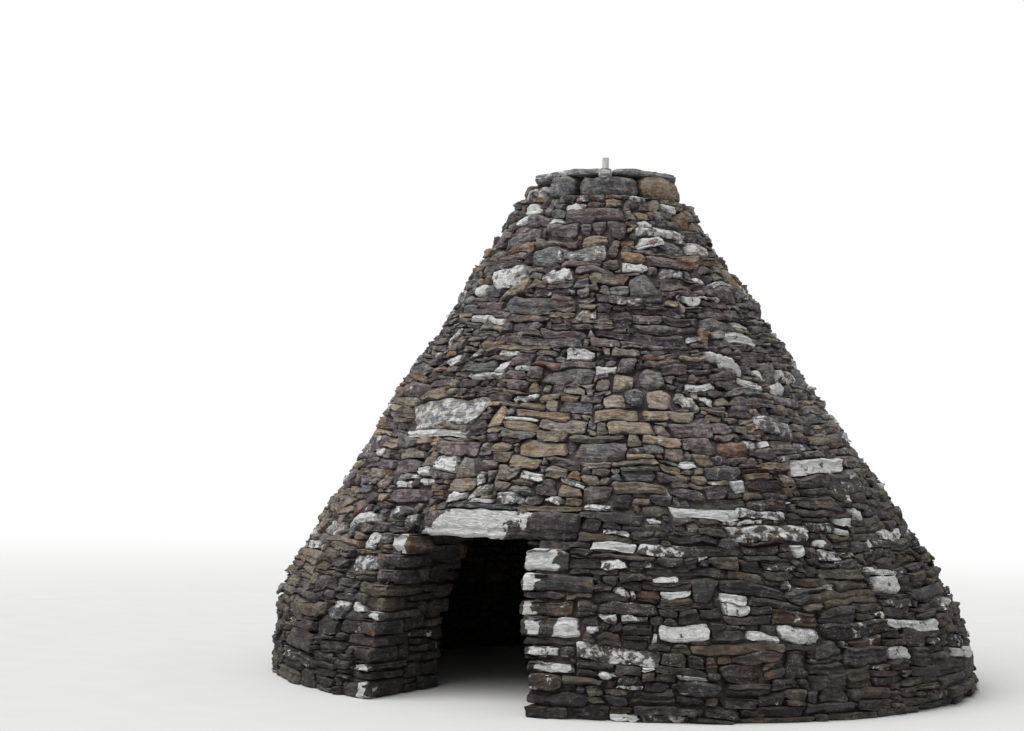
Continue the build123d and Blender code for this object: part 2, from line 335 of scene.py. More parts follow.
def makeStone(name, finish):
    make = Maker(bpy.data.materials.new(name))
    place = make.node("ShaderNodeTexCoord", {}, {}, 3)
    look = make.node("ShaderNodeAttribute", {"attribute_name": "look"}, {}, 0)
    shift = make.node("ShaderNodeAttribute", {"attribute_name": "shift"}, {}, 1)
    hue = make.node("ShaderNodeSeparateColor", {}, {0: look})
    tone, lichen, upTheStone = hue.other(1), hue.other(2), look.other(3)
    height = make.node("ShaderNodeSeparateXYZ", {}, {0: place}, 2)
    darkeningSide = height.other(0) * finish["darkeningSide"]  # the darkening climbs higher towards +x
    facing = make.node("ShaderNodeNewGeometry", {}, {}, 1)
    upward = make.node("ShaderNodeSeparateXYZ", {}, {0: facing}, 2)
    own = make.vector("ADD", place, shift)
    bedded = make.vector("MULTIPLY", own, (1.0, 1.0, finish["bedding"]))
    finely = make.vector("MULTIPLY", own, (1.0, 1.0, finish["fineBedding"]))

    broad = make.noise(bedded, *finish["broad"])
    layers = make.noise(bedded, *finish["layers"])
    streaks = make.noise(finely, *finish["streaks"])
    grain = make.noise(own, *finish["grain"])
    crust = make.noise(own, *finish["crustNoise"])
    stain = make.noise(place, *finish["stain"])
    laid = make.vector("MULTIPLY", own, (1.0, 1.0, finish["layerStretch"]))
    layer = make.noise(laid, *finish["layer"])
    nearSplit = make.node("ShaderNodeMath", {"operation": "ABSOLUTE"}, {0: layer - 0.5})
    flaky = 1 - make.step(hue, *finish["flakyAt"]) * 0.6  # the dark slabs split most along their bedding
    # painted shade: thin dark lines along the bedding stand for the shadowed gaps between laminae
    split = (1 - make.step(nearSplit, 0.0, finish["split"])) * flaky

    body = make.node("ShaderNodeValToRGB", {"stops": finish["rock"]}, {0: hue + (broad - 0.5) * 0.45})
    mottle = make.step(layers, *finish["mottleAt"])
    lines = make.step(streaks, *finish["linesAt"])
    # painted shade: each stone is darkened towards its foot, as if shaded by the stone above
    footShade = 1 - (1 - make.step(upTheStone, 0.0, 0.30)) * finish["shadeBelow"]
    # the stones are darker towards the foot, down to a quarter of their colour, with a wandering edge; the
    # same factor thins the dusting and the grey crust there
    aboveDarkening = make.step(height + stain * 1.4 - darkeningSide, finish["darkeningFrom"] + 0.7, finish["darkeningTo"] + 0.7)
    lowDarkening = 1 - (1 - aboveDarkening) * finish["lowDarkening"]
    patches = make.step(crust, *finish["patchesAt"])
    shade = (tone * 0.95 + 0.62) * (0.46 + mottle * 0.95) * (0.66 + lines * 0.50) * (0.74 + patches * 0.5)
    shade = shade * (0.72 + grain * 0.56) * (0.84 + make.step(layer, *finish["layerAt"]) * 0.32)
    shade = shade * footShade * lowDarkening * (1 - split * finish["splitShade"])
    stone = make.node("ShaderNodeVectorMath", {"operation": "SCALE"}, {0: body, 3: shade})
    rust = make.step(broad + stain * 0.6, *finish["rustAt"]) * finish["rust"]
    stone = make.mix(rust, stone, make.colour(*finish["rustColour"]))

    # a light dusting and a painted highlight: the top of each stone is lightened as if its upper arris
    # caught the light
    dustAndHighlightMask = make.step(upTheStone + (crust - 0.5) * 0.7, *finish["dustAndHighlightAt"])
    dustAndHighlight = dustAndHighlightMask * (0.25 + tone * 0.55) * lowDarkening
    stone = make.mix(dustAndHighlight, stone, make.colour(*finish["dustAndHighlightOnTop"]))
    crusted = make.step(crust + (broad - 0.5) * 0.35 + tone * 0.05, *finish["crustAt"])
    grey = crusted * finish["crustShare"] * lowDarkening
    stone = make.mix(grey * (0.35 + lines * 0.65), stone, make.colour(*finish["crust"]))

    stained = make.step(stain * 0.8 + crust * 0.4 + upward * 0.30, *finish["oliveAt"]) * finish["olive"]
    olive = make.mix(grain, make.colour(*finish["oliveDark"]), make.colour(*finish["oliveLight"]))
    stone = make.mix(stained, stone, olive)

    pale = make.step(crust * 0.95 + lichen * 0.78, *finish["paleAt"])
    speckSockets = {"Vector": own, "Scale": finish["speckScale"]}
    speck = make.node("ShaderNodeTexVoronoi", {"feature": "F1"}, speckSockets)
    specks = make.step(crust + lichen * 0.35, *finish["specksAt"])
    spots = (1 - make.step(speck, *finish["speckAt"])) * specks * 0.5
    white = make.mix(mottle * 0.65 + lines * 0.2 + 0.15, make.colour(*finish["lichenGrey"]),
                     make.colour(*finish["lichenWhite"]))
    stone = make.mix(spots, stone, make.colour(*finish["lichenGrey"]))
    stone = make.mix(pale, stone, white)

    relief = layers * 0.9 + broad * 0.4 + streaks * 0.7 + grain * 0.18
    relief = relief + pale * 0.12 + spots * 0.08 - split * 0.6
    bumpSockets = {"Strength": 1.0, "Distance": finish["relief"], "Height": relief}
    bump = make.node("ShaderNodeBump", {}, bumpSockets)
    rough = 0.76 + grain * 0.14 + pale * 0.08
    return make.finish({"Base Color": stone, "Roughness": rough, "Normal": bump})


def makeJoint(finish):
    make = Maker(bpy.data.materials.new("joint_earth_and_shade"))
    place = make.node("ShaderNodeTexCoord", {}, {}, 3)
    clods = make.noise(place, 22.0, 5.0, 0.7)
    patches = make.noise(place, 3.0, 3.0, 0.6)
    earth = make.mix(make.step(clods, 0.35, 0.7), make.colour(*finish["dark"]),
                     make.colour(*finish["light"]))
    earth = make.mix(make.step(patches, 0.5, 0.62) * 0.5, earth, make.colour(*finish["olive"]))
    bump = make.node("ShaderNodeBump", {}, {"Strength": 0.8, "Distance": 0.02, "Height": clods})
    return make.finish({"Base Color": earth, "Roughness": 0.9 + clods * 0.08, "Normal": bump})


def makePipe(finish):
    make = Maker(bpy.data.materials.new("weathered_plastic"))
    place = make.node("ShaderNodeTexCoord", {}, {}, 3)
    streaked = make.vector("MULTIPLY", place, (1.0, 1.0, 0.25))
    grime = make.noise(streaked, 40.0, 4.0, 0.6)
    scuffs = make.noise(place, 160.0, 2.0, 0.5)
    colour = make.mix(make.step(grime, 0.45, 0.7) * 0.7, make.colour(*finish["clean"]),
                      make.colour(*finish["grime"]))
    bump = make.node("ShaderNodeBump", {}, {"Strength": 0.25, "Distance": 0.001, "Height": scuffs})
    return make.finish({"Base Color": colour, "Roughness": 0.42 + grime * 0.25, "Normal": bump})


drystone = makeStone("drystone_slabs", stoneFinish)
jointEarthAndShade = makeJoint(jointFinish)
weatheredPlastic = makePipe(pipeFinish)
print("materials made")


# a piece's stones are gathered here before its mesh is made
class Masonry:
    def __init__(self):
        self.points, self.faces, self.looks, self.shifts, self.slots = [], [], [], [], []
        self.count = 0

    def add(self, points, faces, looks, shift, slot=0):
        first = self.count
        self.points.append(points)
        self.faces += [tuple(first + index for index in face) for face in faces]
        self.looks.append(looks)
        self.shifts.append(np.tile(shift, (len(points), 1)))
        self.slots += [slot] * len(faces)
        self.count += len(points)


pieces = {name: Masonry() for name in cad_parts}

# beds and joints wander, so each point of the outer face is carried along by a smooth drift, in metres
drift = {"broadCell": 0.50, "broadUp": 0.050, "broadAlong": 0.040, "fineCell": 0.15, "fineUp": 0.022,
         "fineAlong": 0.026, "bulge": 0.05, "calmHeight": 0.45, "calmBeside": 0.40, "stillBeside": 0.3,
         "seed": 5}
noise.seed_set(drift["seed"])  # noise_vector takes the time of day for a seed otherwise


def driftAt(x, y, z):
    calm = clamped(z / drift["calmHeight"]) * clamped((crownTop - z) / drift["calmHeight"])
    if y < 0 and z < lintelBox[1][2] + drift["calmHeight"]:
        side = 1 if x > 0 else -1
        away = (x - doorSideAt(side, min(z, doorTop))) * side
        beside = (away - drift["stillBeside"]) / drift["calmBeside"]
        above = (z - lintelBox[1][2]) / drift["calmHeight"]
        calm *= clamped(max(beside, above))
    if calm <= 0:
        return 0.0, 0.0, 0.0
    broad = noise.noise_vector(Vector((x, y, z)) / drift["broadCell"])
    fine = noise.noise_vector(Vector((x, y, z)) / drift["fineCell"])
    return ((broad.x * drift["broadAlong"] + fine.x * drift["fineAlong"]) * calm,
            (broad.y * drift["broadUp"] + fine.y * drift["fineUp"]) * calm, broad.z * drift["bulge"] * calm)


def carryAlong(points):
    for point in points:
        x, y, radius = ringAt(outerLine, min(point[2], crownTop))
        along, up, out = driftAt(*point)
        reach = math.hypot(point[0] - x, point[1] - y)
        away = ((point[0] - x) / reach, (point[1] - y) / reach)
        point[0] += away[0] * out - away[1] * along
        point[1] += away[1] * out + away[0] * along
        point[2] += up


# how each kind of stone is broken; lengths in metres, the rest as shares of the stone
stoneForms = {
    "slab": {"taper": (0.0, 0.24), "reach": (0.04, 0.40), "wedge": 0.12, "slant": 0.50, "round": 0.05,
             "ledge": 0.0080, "pillow": 0.001, "arris": 0.004, "ragged": 0.0036, "facets": 1,
             "facetDepth": 0.016, "swell": 0.008, "grit": 0.0030, "jitter": 0.0034, "cell": 0.026},
    "block": {"taper": (0.0, 0.18), "reach": (0.10, 0.45), "wedge": 0.14, "slant": 0.36, "round": 0.08,
              "ledge": 0.0050, "pillow": 0.003, "arris": 0.005, "ragged": 0.0042, "facets": 3,
              "facetDepth": 0.026, "swell": 0.006, "grit": 0.0036, "jitter": 0.0038, "cell": 0.025},
    "cobble": {"taper": (0.06, 0.32), "reach": (0.18, 0.50), "wedge": 0.14, "slant": 0.45, "round": 0.26,
               "ledge": 0.0040, "pillow": 0.007, "arris": 0.008, "ragged": 0.0052, "facets": 3,
               "facetDepth": 0.022, "swell": 0.006, "grit": 0.0036, "jitter": 0.0044, "cell": 0.022},
    "rim": {"taper": (0.0, 0.12), "reach": (0.10, 0.30), "wedge": 0.05, "slant": 0.10, "round": 0.30,
            "ledge": 0.0040, "pillow": 0.010, "arris": 0.012, "ragged": 0.0050, "facets": 2,
            "facetDepth": 0.020, "swell": 0.006, "grit": 0.0036, "jitter": 0.0040, "cell": 0.026},
    "hidden": {"taper": (0.0, 0.30), "reach": (0.15, 0.50), "wedge": 0.12, "slant": 0.40, "round": 0.15,
               "ledge": 0.0060, "pillow": 0.006, "arris": 0.007, "ragged": 0.0035, "facets": 1,
               "facetDepth": 0.016, "swell": 0.006, "grit": 0.0026, "jitter": 0.0030, "cell": 0.070},
    "corner": {"taper": (0.0, 0.22), "reach": (0.10, 0.35), "wedge": 0.10, "slant": 0.30, "round": 0.15,
               "ledge": 0.0070, "pillow": 0.006, "arris": 0.007, "ragged": 0.0050, "facets": 1,
               "facetDepth": 0.014, "swell": 0.009, "grit": 0.0035, "jitter": 0.0032, "cell": 0.030},
    "lintel": {"taper": (0.0, 0.04), "reach": (0.05, 0.10), "wedge": 0.0, "slant": 0.0, "round": 0.12,
               "ledge": 0.0070, "pillow": 0.008, "arris": 0.010, "ragged": 0.0050, "facets": 2,
               "facetDepth": 0.014, "swell": 0.010, "grit": 0.0035, "jitter": 0.0026, "cell": 0.022},
}
# what all kinds share: rows of points up a stone, how far its ends wear, and its drawn-in back
stoneCut = {"rowCell": 0.6, "rowsMost": 7, "rowsLeast": 4, "coarse": 0.05, "coarseRows": 3, "lastRow": 0.12,
            "taperPower": (1.2, 2.6), "lossMost": 0.85, "wear": 0.005, "wearReach": 0.05,
            "wearSpread": (0.5, 1.6), "topShare": (0.3, 1.0), "leastLeft": 0.12, "swellTurns": (8, 20),
            "facetStart": (0.25, 0.8), "facetGain": 1.6, "roundSpread": (0.5, 1.0), "roundTall": 0.10,
            "endReach": 0.05, "endShare": 0.9, "slideMost": 0.3, "uneven": 0.0025, "backTall": 0.85,
            "ragged": (0.4, 1.6), "swellStart": (0, 6.3), "arrisSpread": (0.5, 1.4), "arrisTop": 1.25,
            "arrisFoot": 0.8, "roundEnd": 0.97, "evenUnder": 0.06, "grainShift": (-9, 9)}
faceLists = {}


def facesFor(columns, rows, ringBack):
    if (columns, rows, ringBack) in faceLists:
        return faceLists[columns, rows, ringBack]
    wide = columns + 1
    faces = [(row * wide + column, row * wide + column + 1, (row + 1) * wide + column + 1,
              (row + 1) * wide + column) for row in range(rows) for column in range(columns)]
    bottom = list(range(wide))
    right = [row * wide + columns for row in range(rows + 1)]
    top = [rows * wide + column for column in range(columns, -1, -1)]
    left = [row * wide for row in range(rows, -1, -1)]
    rim = bottom[:-1] + right[:-1] + top[:-1] + left[:-1]
    first = wide * (rows + 1)
    if ringBack:
        back = [first + place for place in range(len(rim))]
        for place in range(len(rim)):
            after = (place + 1) % len(rim)
            faces.append((rim[place], back[place], back[after], rim[after]))
    else:
        rim = [bottom[0], right[0], top[0], left[0]]
        back = [first + place for place in range(4)]
        for place, side in enumerate((bottom, right, top, left)):
            faces.append((back[place], back[(place + 1) % 4], *reversed(side)))
    faces.append(tuple(reversed(back)))
    faceLists[columns, rows, ringBack] = faces, rim
    return faceLists[columns, rows, ringBack]


def smoothed(values):
    return np.convolve(np.pad(values, 1, mode="edge"), (0.25, 0.5, 0.25), mode="valid")


def cutStone(masonry, path, normals, floor, roof, depth, look, form, rng, lean=0.0, yaw=0.0, lichen=None,
             ringBack=False, shrink=0.9, drifting=False, shear=None):
    form = stoneForms[form]
    path, normals = np.asarray(path, float), np.asarray(normals, float)
    columns = len(path) - 1
    floor, roof = np.broadcast_to(floor, columns + 1), np.broadcast_to(roof, columns + 1)
    tall = float(np.mean(roof - floor))
    rowsLeast = stoneCut["coarseRows" if form["cell"] > stoneCut["coarse"] else "rowsLeast"]
    rows = round(tall / (form["cell"] * stoneCut["rowCell"]))
    rows = int(min(stoneCut["rowsMost"], max(rowsLeast, rows)))
    shares = np.linspace(stoneCut["lastRow"], 1 - stoneCut["lastRow"], rows - 1)
    shares = np.concatenate(([0], shares, [1]))
    runs = np.concatenate(([0], np.cumsum(np.linalg.norm(np.diff(path, axis=0), axis=1))))
    long = runs[-1]
    along = runs / long

    loss = np.zeros(columns + 1)
    wear = np.zeros(columns + 1)
    for fromEnd in (along, 1 - along):
        amount, reach = rng.uniform(*form["taper"]), rng.uniform(*form["reach"])
        reach = max(reach, min(0.5, 0.5 * tall / long))
        loss += amount * np.clip(1 - fromEnd / reach, 0, 1) ** rng.uniform(*stoneCut["taperPower"])
        worn = np.clip(1 - fromEnd * long / stoneCut["wearReach"], 0, 1) ** 2
        wear += rng.uniform(*stoneCut["wearSpread"]) * worn
    loss = np.minimum(loss, stoneCut["lossMost"]) * tall
    fromTop = np.interp(along, (0, 1), rng.uniform(*stoneCut["topShare"], 2))
    ragged = [smoothed(rng.normal(*stoneCut["ragged"], columns + 1)) * form["ragged"] for _ in range(2)]
    wedge = rng.uniform(0, form["wedge"]) * tall * (along if rng.random() < 0.5 else 1 - along)
    bottoms = floor + loss * (1 - fromTop) + ragged[0]
    tops = roof - loss * fromTop - ragged[1] - wedge
    tops = np.maximum(tops, bottoms + stoneCut["leastLeft"] * tall)

    swellAt = along * long * rng.uniform(*stoneCut["swellTurns"]) + rng.uniform(*stoneCut["swellStart"])
    swell = form["swell"] * np.sin(swellAt)
    facets = [(rng.uniform(0, 2 * math.pi), rng.uniform(*stoneCut["facetStart"]))
              for _ in range(form["facets"])]
    slant = [rng.uniform(0, form["slant"]) * tall for _ in range(2)]
    leanTo = [rng.random() < 0.5 for _ in range(2)]
    roundness = rng.uniform(*stoneCut["roundSpread"], 2) * form["round"] * min(tall, stoneCut["roundTall"])
    endLong = max(stoneCut["endReach"], tall * stoneCut["endShare"])
    weights = [np.clip(1 - fromEnd * long / endLong, 0, 1) for fromEnd in (along, 1 - along)]
    side = np.column_stack((-normals[:, 1], normals[:, 0]))
    side /= np.linalg.norm(side, axis=1)[:, None]
    if np.dot(side[0], path[-1] - path[0]) < 0:
        side = -side
    points = []
    for row, share in enumerate(shares):
        bow = abs(2 * share - 1)
        out = swell + rng.normal(0, form["ledge"]) - form["pillow"] * bow ** 3 - wear * stoneCut["wear"]
        if row in (0, rows):
            worn = rng.uniform(*stoneCut["arrisSpread"], columns + 1)
            out = out - form["arris"] * worn * stoneCut["arrisTop" if row else "arrisFoot"]
        for turn, start in facets:
            beyond = math.cos(turn) * (2 * along - 1) + math.sin(turn) * (2 * share - 1) - start
            out = out - np.clip(beyond, 0, 1) * form["facetDepth"] * stoneCut["facetGain"]
        out = (out - lean * (share - 0.5) * tall + yaw * (along - 0.5) * long
               + rng.normal(0, form["grit"], columns + 1))
        inward = [roundness[end] * (1 - math.sqrt(1 - stoneCut["roundEnd"] * bow * bow))
                  + slant[end] * (share if leanTo[end] else 1 - share)
                  + abs(rng.normal(0, stoneCut["uneven"]))
                  for end in range(2)]
        slides = [np.minimum(inward[end], long * stoneCut["slideMost"]) * weights[end] for end in range(2)]
        slide = slides[0] - slides[1]
        slide = slide + rng.normal(0, form["jitter"], columns + 1)
        place = path + normals * out[:, None] + side * slide[:, None]
        level = bottoms + share * (tops - bottoms)
        if 0 < row < rows:
            even = min(1, tall / stoneCut["evenUnder"])
            level = level + rng.normal(0, form["jitter"], columns + 1) * even
        points.append(np.column_stack((place, level)))
    front = np.concatenate(points)
    faces, rim = facesFor(columns, rows, ringBack)
    atColumn, atRow = np.array(rim) % (columns + 1), np.array(rim) // (columns + 1)
    back = front[rim].copy()
    centre = path.mean(axis=0) - normals.mean(axis=0) * depth
    back[:, :2] = centre + (path[atColumn] - normals[atColumn] * depth - centre) * shrink
    back[:, 2] = np.where(atRow > rows / 2, roof[atColumn], floor[atColumn])
    middle = float(np.mean(floor + roof)) / 2
    if ringBack:
        back[:, 2] = front[rim][:, 2]
    else:
        back[:, 2] = middle + (back[:, 2] - middle) * stoneCut["backTall"]
    everything = np.concatenate((front, back))
    if drifting:
        carryAlong(everything)
    everything[:, 2] = np.maximum(everything[:, 2], 0.0)  # nothing goes under the floor
    if shear is not None:
        everything[:, 2] += everything[:, 0] * shear[0] + everything[:, 1] * shear[1]
    looks = np.zeros((len(everything), 4))
    looks[:, :3] = look
    looks[:, 3] = np.concatenate((np.repeat(shares, columns + 1), shares[atRow]))
    if lichen is not None:
        looks[:, 2] = [lichen(*point) for point in everything]
    masonry.add(everything, faces, looks, rng.uniform(*stoneCut["grainShift"], 3))


# packing: each stone goes on the lowest place that is free, follows the bed under it, and meets
# what is already laid above or beside it; lengths in metres, the rest as shares of the stone
packing = {"slot": 0.025, "rise": 0.018, "fillMost": 0.2, "creep": 0.004, "short": 0.11,
           "shortTall": (0.4, 0.9), "staggers": (0, 3, -3, 6, -6), "alike": 0.42, "alikeChance": 0.75,
           "closeAbove": 1.7, "reachUp": 1.35, "dropMost": 0.012, "dropShare": 0.22, "noWall": 9.0}


def packFace(face, taken, rng):
    bins, foot, top = face["bins"], face["foot"], face["top"]
    around = face["around"]
    level = np.full(bins, float(foot))
    ahead = [[] for _ in range(bins)]
    for first, last, low, high in taken:
        for at in range(first, last):
            ahead[at % bins].append((low, high))
    ceiling = np.full(bins, float(top))
    joints = np.zeros(bins, bool)

    def lift(at, high):
        level[at] = high
        while ahead[at] and ahead[at][0][0] <= level[at] + face["skip"]:
            level[at] = max(level[at], ahead[at].pop(0)[1])
        ceiling[at] = ahead[at][0][0] if ahead[at] else top

    def evenWith(at, base):
        return abs(level[at % bins] - base) < face["even"]

    for at in range(bins):
        ahead[at].sort()
        lift(at, level[at])
    stones = []
    while True:
        start = int(np.argmin(level))
        base = level[start]
        if base > top - face["skip"]:
            break
        left, right = start, start + 1
        while right - left < bins and (around or left > 0) and evenWith(left - 1, base):
            left -= 1
        while right - left < bins and (around or right < bins) and evenWith(right, base):
            right += 1
        width = face["width"](base)
        room = (right - left) * width
        leftWall = rightWall = packing["noWall"]
        if around or left > 0:
            leftWall = level[(left - 1) % bins] - base
        if around or right < bins:
            rightWall = level[right % bins] - base
        long, tall, kind = face["sizes"](base, rng)
        long = min(long, face["longest"] * width * bins)
        if room < face["narrowest"]:
            rise = min(leftWall, rightWall, packing["fillMost"])
            if room < packing["slot"] or rise < packing["rise"]:
                for at in range(left, right):
                    lift(at % bins, base + max(rise, packing["creep"]))
                continue
            tall = min(rise, top - base)
            long = room
            kind = "block"
        if long > room - face["narrowest"]:
            long = room
        if long < packing["short"]:
            tall = max(tall, long * rng.uniform(*packing["shortTall"]))  # no stack of chips in a slot
        count = min(max(1, round(long / width)), right - left)
        if count < right - left:
            fromLeft = rng.random() < 0.5
            end = left + count if fromLeft else right - count
            for shiftBy in packing["staggers"]:
                if not any(joints[(end + shiftBy + near) % bins] for near in (-1, 0, 1)):
                    end += shiftBy
                    break
            first, last = (left, end) if fromLeft else (end, right)
            first, last = max(left, first), min(right, last)
            if last - first < 2:
                first, last = left, right
        else:
            first, last = left, right
        cells = [at % bins for at in range(first, last)]
        for wall, touches in ((leftWall, first == left), (rightWall, last == right)):
            alike = touches and abs(wall - tall) < packing["alike"] * tall
            if alike and rng.random() < packing["alikeChance"]:
                tall = wall
        floor, above = level[cells], ceiling[cells]
        low = floor.max()
        room = above.min() - low
        if room < face["thinnest"]:  # only the tight end of a wedge stays empty
            for at in cells:
                if ceiling[at] - low < face["thinnest"]:
                    lift(at, max(ceiling[at], low + packing["creep"]))
            continue
        if tall > room - face["thinnest"]:
            tall = room if room < packing["closeAbove"] * tall else room - face["thinnest"]
        roof = np.full(len(cells), low + tall)
        if tall == room:
            roof = np.minimum(above, low + tall * packing["reachUp"])
        elif room > 2 * tall:
            tilt = math.radians(rng.normal(0, face["tilt"][kind == "block"]))
            drop = min(packing["dropMost"], packing["dropShare"] * tall)
            roof += np.clip((np.arange(len(cells)) - len(cells) / 2) * width * tilt, -drop, drop)
        stones.append((first, last, floor.copy(), roof, kind))
        joints[cells] = False
        joints[first % bins] = joints[last % bins] = True
        for at, high in zip(cells, roof):
            lift(at, high)
    return stones


# sizes are rows of height, thickness there, its spread, length over thickness, and its spread: slabs at
# the foot, thicker rubble, a belt of thin slabs, and rubble again under the crown
outerFace = {"bins": 1440, "foot": 0.0, "around": True, "even": 0.020, "skip": 0.014,
             "narrowest": 0.060, "longest": 0.11, "thinnest": 0.020, "joint": (0.000, 0.005),
             "sizes": [(0.0, 0.068, 0.38, 4.6, 0.42), (0.4, 0.056, 0.40, 5.4, 0.45),
                       (1.2, 0.048, 0.38, 5.6, 0.46), (1.6, 0.070, 0.40, 3.3, 0.45),
                       (2.1, 0.066, 0.42, 3.2, 0.45), (2.35, 0.037, 0.34, 6.4, 0.45),
                       (2.9, 0.041, 0.38, 5.6, 0.45), (3.15, 0.086, 0.34, 2.1, 0.40),
                       (3.9, 0.086, 0.34, 1.9, 0.40)],
             "tilt": (1.4, 3.2), "deep": (0.17, 0.24), "proud": 0.012, "yaw": 0.05, "lean": (0.25, 1.0),
             "chip": 0.08, "lichen": 0.05, "lichenBehind": 0.11, "behindFrom": 0.25, "paintedShade": 0.0}
# the stones inside the chamber are given a lower tone as painted shade
innerFace = {"bins": 720, "foot": 0.0, "around": True, "even": 0.014, "skip": 0.03,
             "narrowest": 0.12, "longest": 0.14, "thinnest": 0.04, "joint": (0.004, 0.014),
             "sizes": [(0.0, 0.085, 0.25, 3.6, 0.3), (3.0, 0.085, 0.25, 2.8, 0.3)],
             "tilt": (1.0, 2.0), "deep": (0.14, 0.18), "proud": 0.01, "yaw": 0.03, "lean": (0.0, 0.1),
             "chip": 0.05, "lichen": 0.0, "lichenBehind": 0.0, "behindFrom": 0.25, "paintedShade": 0.2}


# heights and lengths in metres; a stray has the size that is usual at some other height, and a chip is
# thin whatever its height
sizing = {"heightSpread": 0.12, "strayChance": 0.10, "strayTop": 3.9, "chipTall": (0.022, 0.045),
          "chipRatio": (1.6, 4.5), "tall": (0.022, 0.19), "long": (0.06, 0.70), "slabRatio": 2.5}


def sizesFor(face):
    rows = np.array(face["sizes"])

    def sizes(level, rng):
        height = level + rng.normal(0, sizing["heightSpread"])
        if rng.random() < sizing["strayChance"]:
            height = rng.uniform(0, sizing["strayTop"])
        tall, spread, ratio, ratioSpread = (np.interp(height, rows[:, 0], row) for row in rows[:, 1:].T)
        tall = math.exp(rng.normal(math.log(tall), spread))
        ratio = math.exp(rng.normal(math.log(ratio), ratioSpread))
        if rng.random() < face["chip"]:
            tall, ratio = rng.uniform(*sizing["chipTall"]), rng.uniform(*sizing["chipRatio"])
        tall = clamped(tall, *sizing["tall"])
        long = clamped(tall * ratio, *sizing["long"])
        return long, tall, "slab" if ratio > sizing["slabRatio"] else "block"
    return sizes


def binOf(face, bearing):
    return bearing / (2 * math.pi) * face["bins"]


# how often each colour of rock turns up, as places along its range of colours, and the belts of the
# wall where dark slabs, tan rubble or dull foot stones are commoner
rockMix = {"places": [0.06, 0.22, 0.38, 0.52, 0.66, 0.80, 0.92, 0.99],
           "shares": [0.15, 0.20, 0.21, 0.12, 0.16, 0.10, 0.04, 0.02], "spread": 0.03,
           "darkBelt": (2.2, 3.05), "darkShare": 0.45, "dark": (0.0, 0.30),
           "tanBelt": (1.45, 2.25), "tanShare": 0.34, "tan": (0.60, 0.84), "tanTone": 0.20,
           "foot": 1.3, "footShare": 0.40, "footGrey": (0.32, 0.46), "footTan": (0.60, 0.90),
           "greyShare": 0.6, "tone": 0.46, "toneSpread": 0.22, "lichenMuch": (0.55, 0.8),
           "lichenSome": (0.28, 0.48), "someShare": 0.30, "lichenLittle": (0.0, 0.26)}


def lookOf(rng, level, lichenShare=0.05, paintedShade=0.0):
    hue = rng.choice(rockMix["places"], p=rockMix["shares"]) + rng.normal(0, rockMix["spread"])
    if rockMix["darkBelt"][0] < level < rockMix["darkBelt"][1] and rng.random() < rockMix["darkShare"]:
        hue = rng.uniform(*rockMix["dark"])
    if level < rockMix["foot"] and rng.random() < rockMix["footShare"]:
        hue = rng.uniform(*rockMix["footGrey" if rng.random() < rockMix["greyShare"] else "footTan"])
    inTanBelt = rockMix["tanBelt"][0] < level < rockMix["tanBelt"][1]
    if inTanBelt and rng.random() < rockMix["tanShare"]:
        hue = rng.uniform(*rockMix["tan"])
    # painted shade: a stone's tone is lowered where it lies in the chamber or the passage
    tone = rockMix["tone"] - paintedShade + (rockMix["tanTone"] if inTanBelt else 0.0)
    tone = clamped(rng.normal(tone, rockMix["toneSpread"]))
    chance = rng.random()
    if chance < lichenShare:
        lichen = rng.uniform(*rockMix["lichenMuch"])
    elif chance < lichenShare + rockMix["someShare"]:
        lichen = rng.uniform(*rockMix["lichenSome"])
    else:
        lichen = rng.uniform(*rockMix["lichenLittle"])
    return clamped(hue), tone, lichen


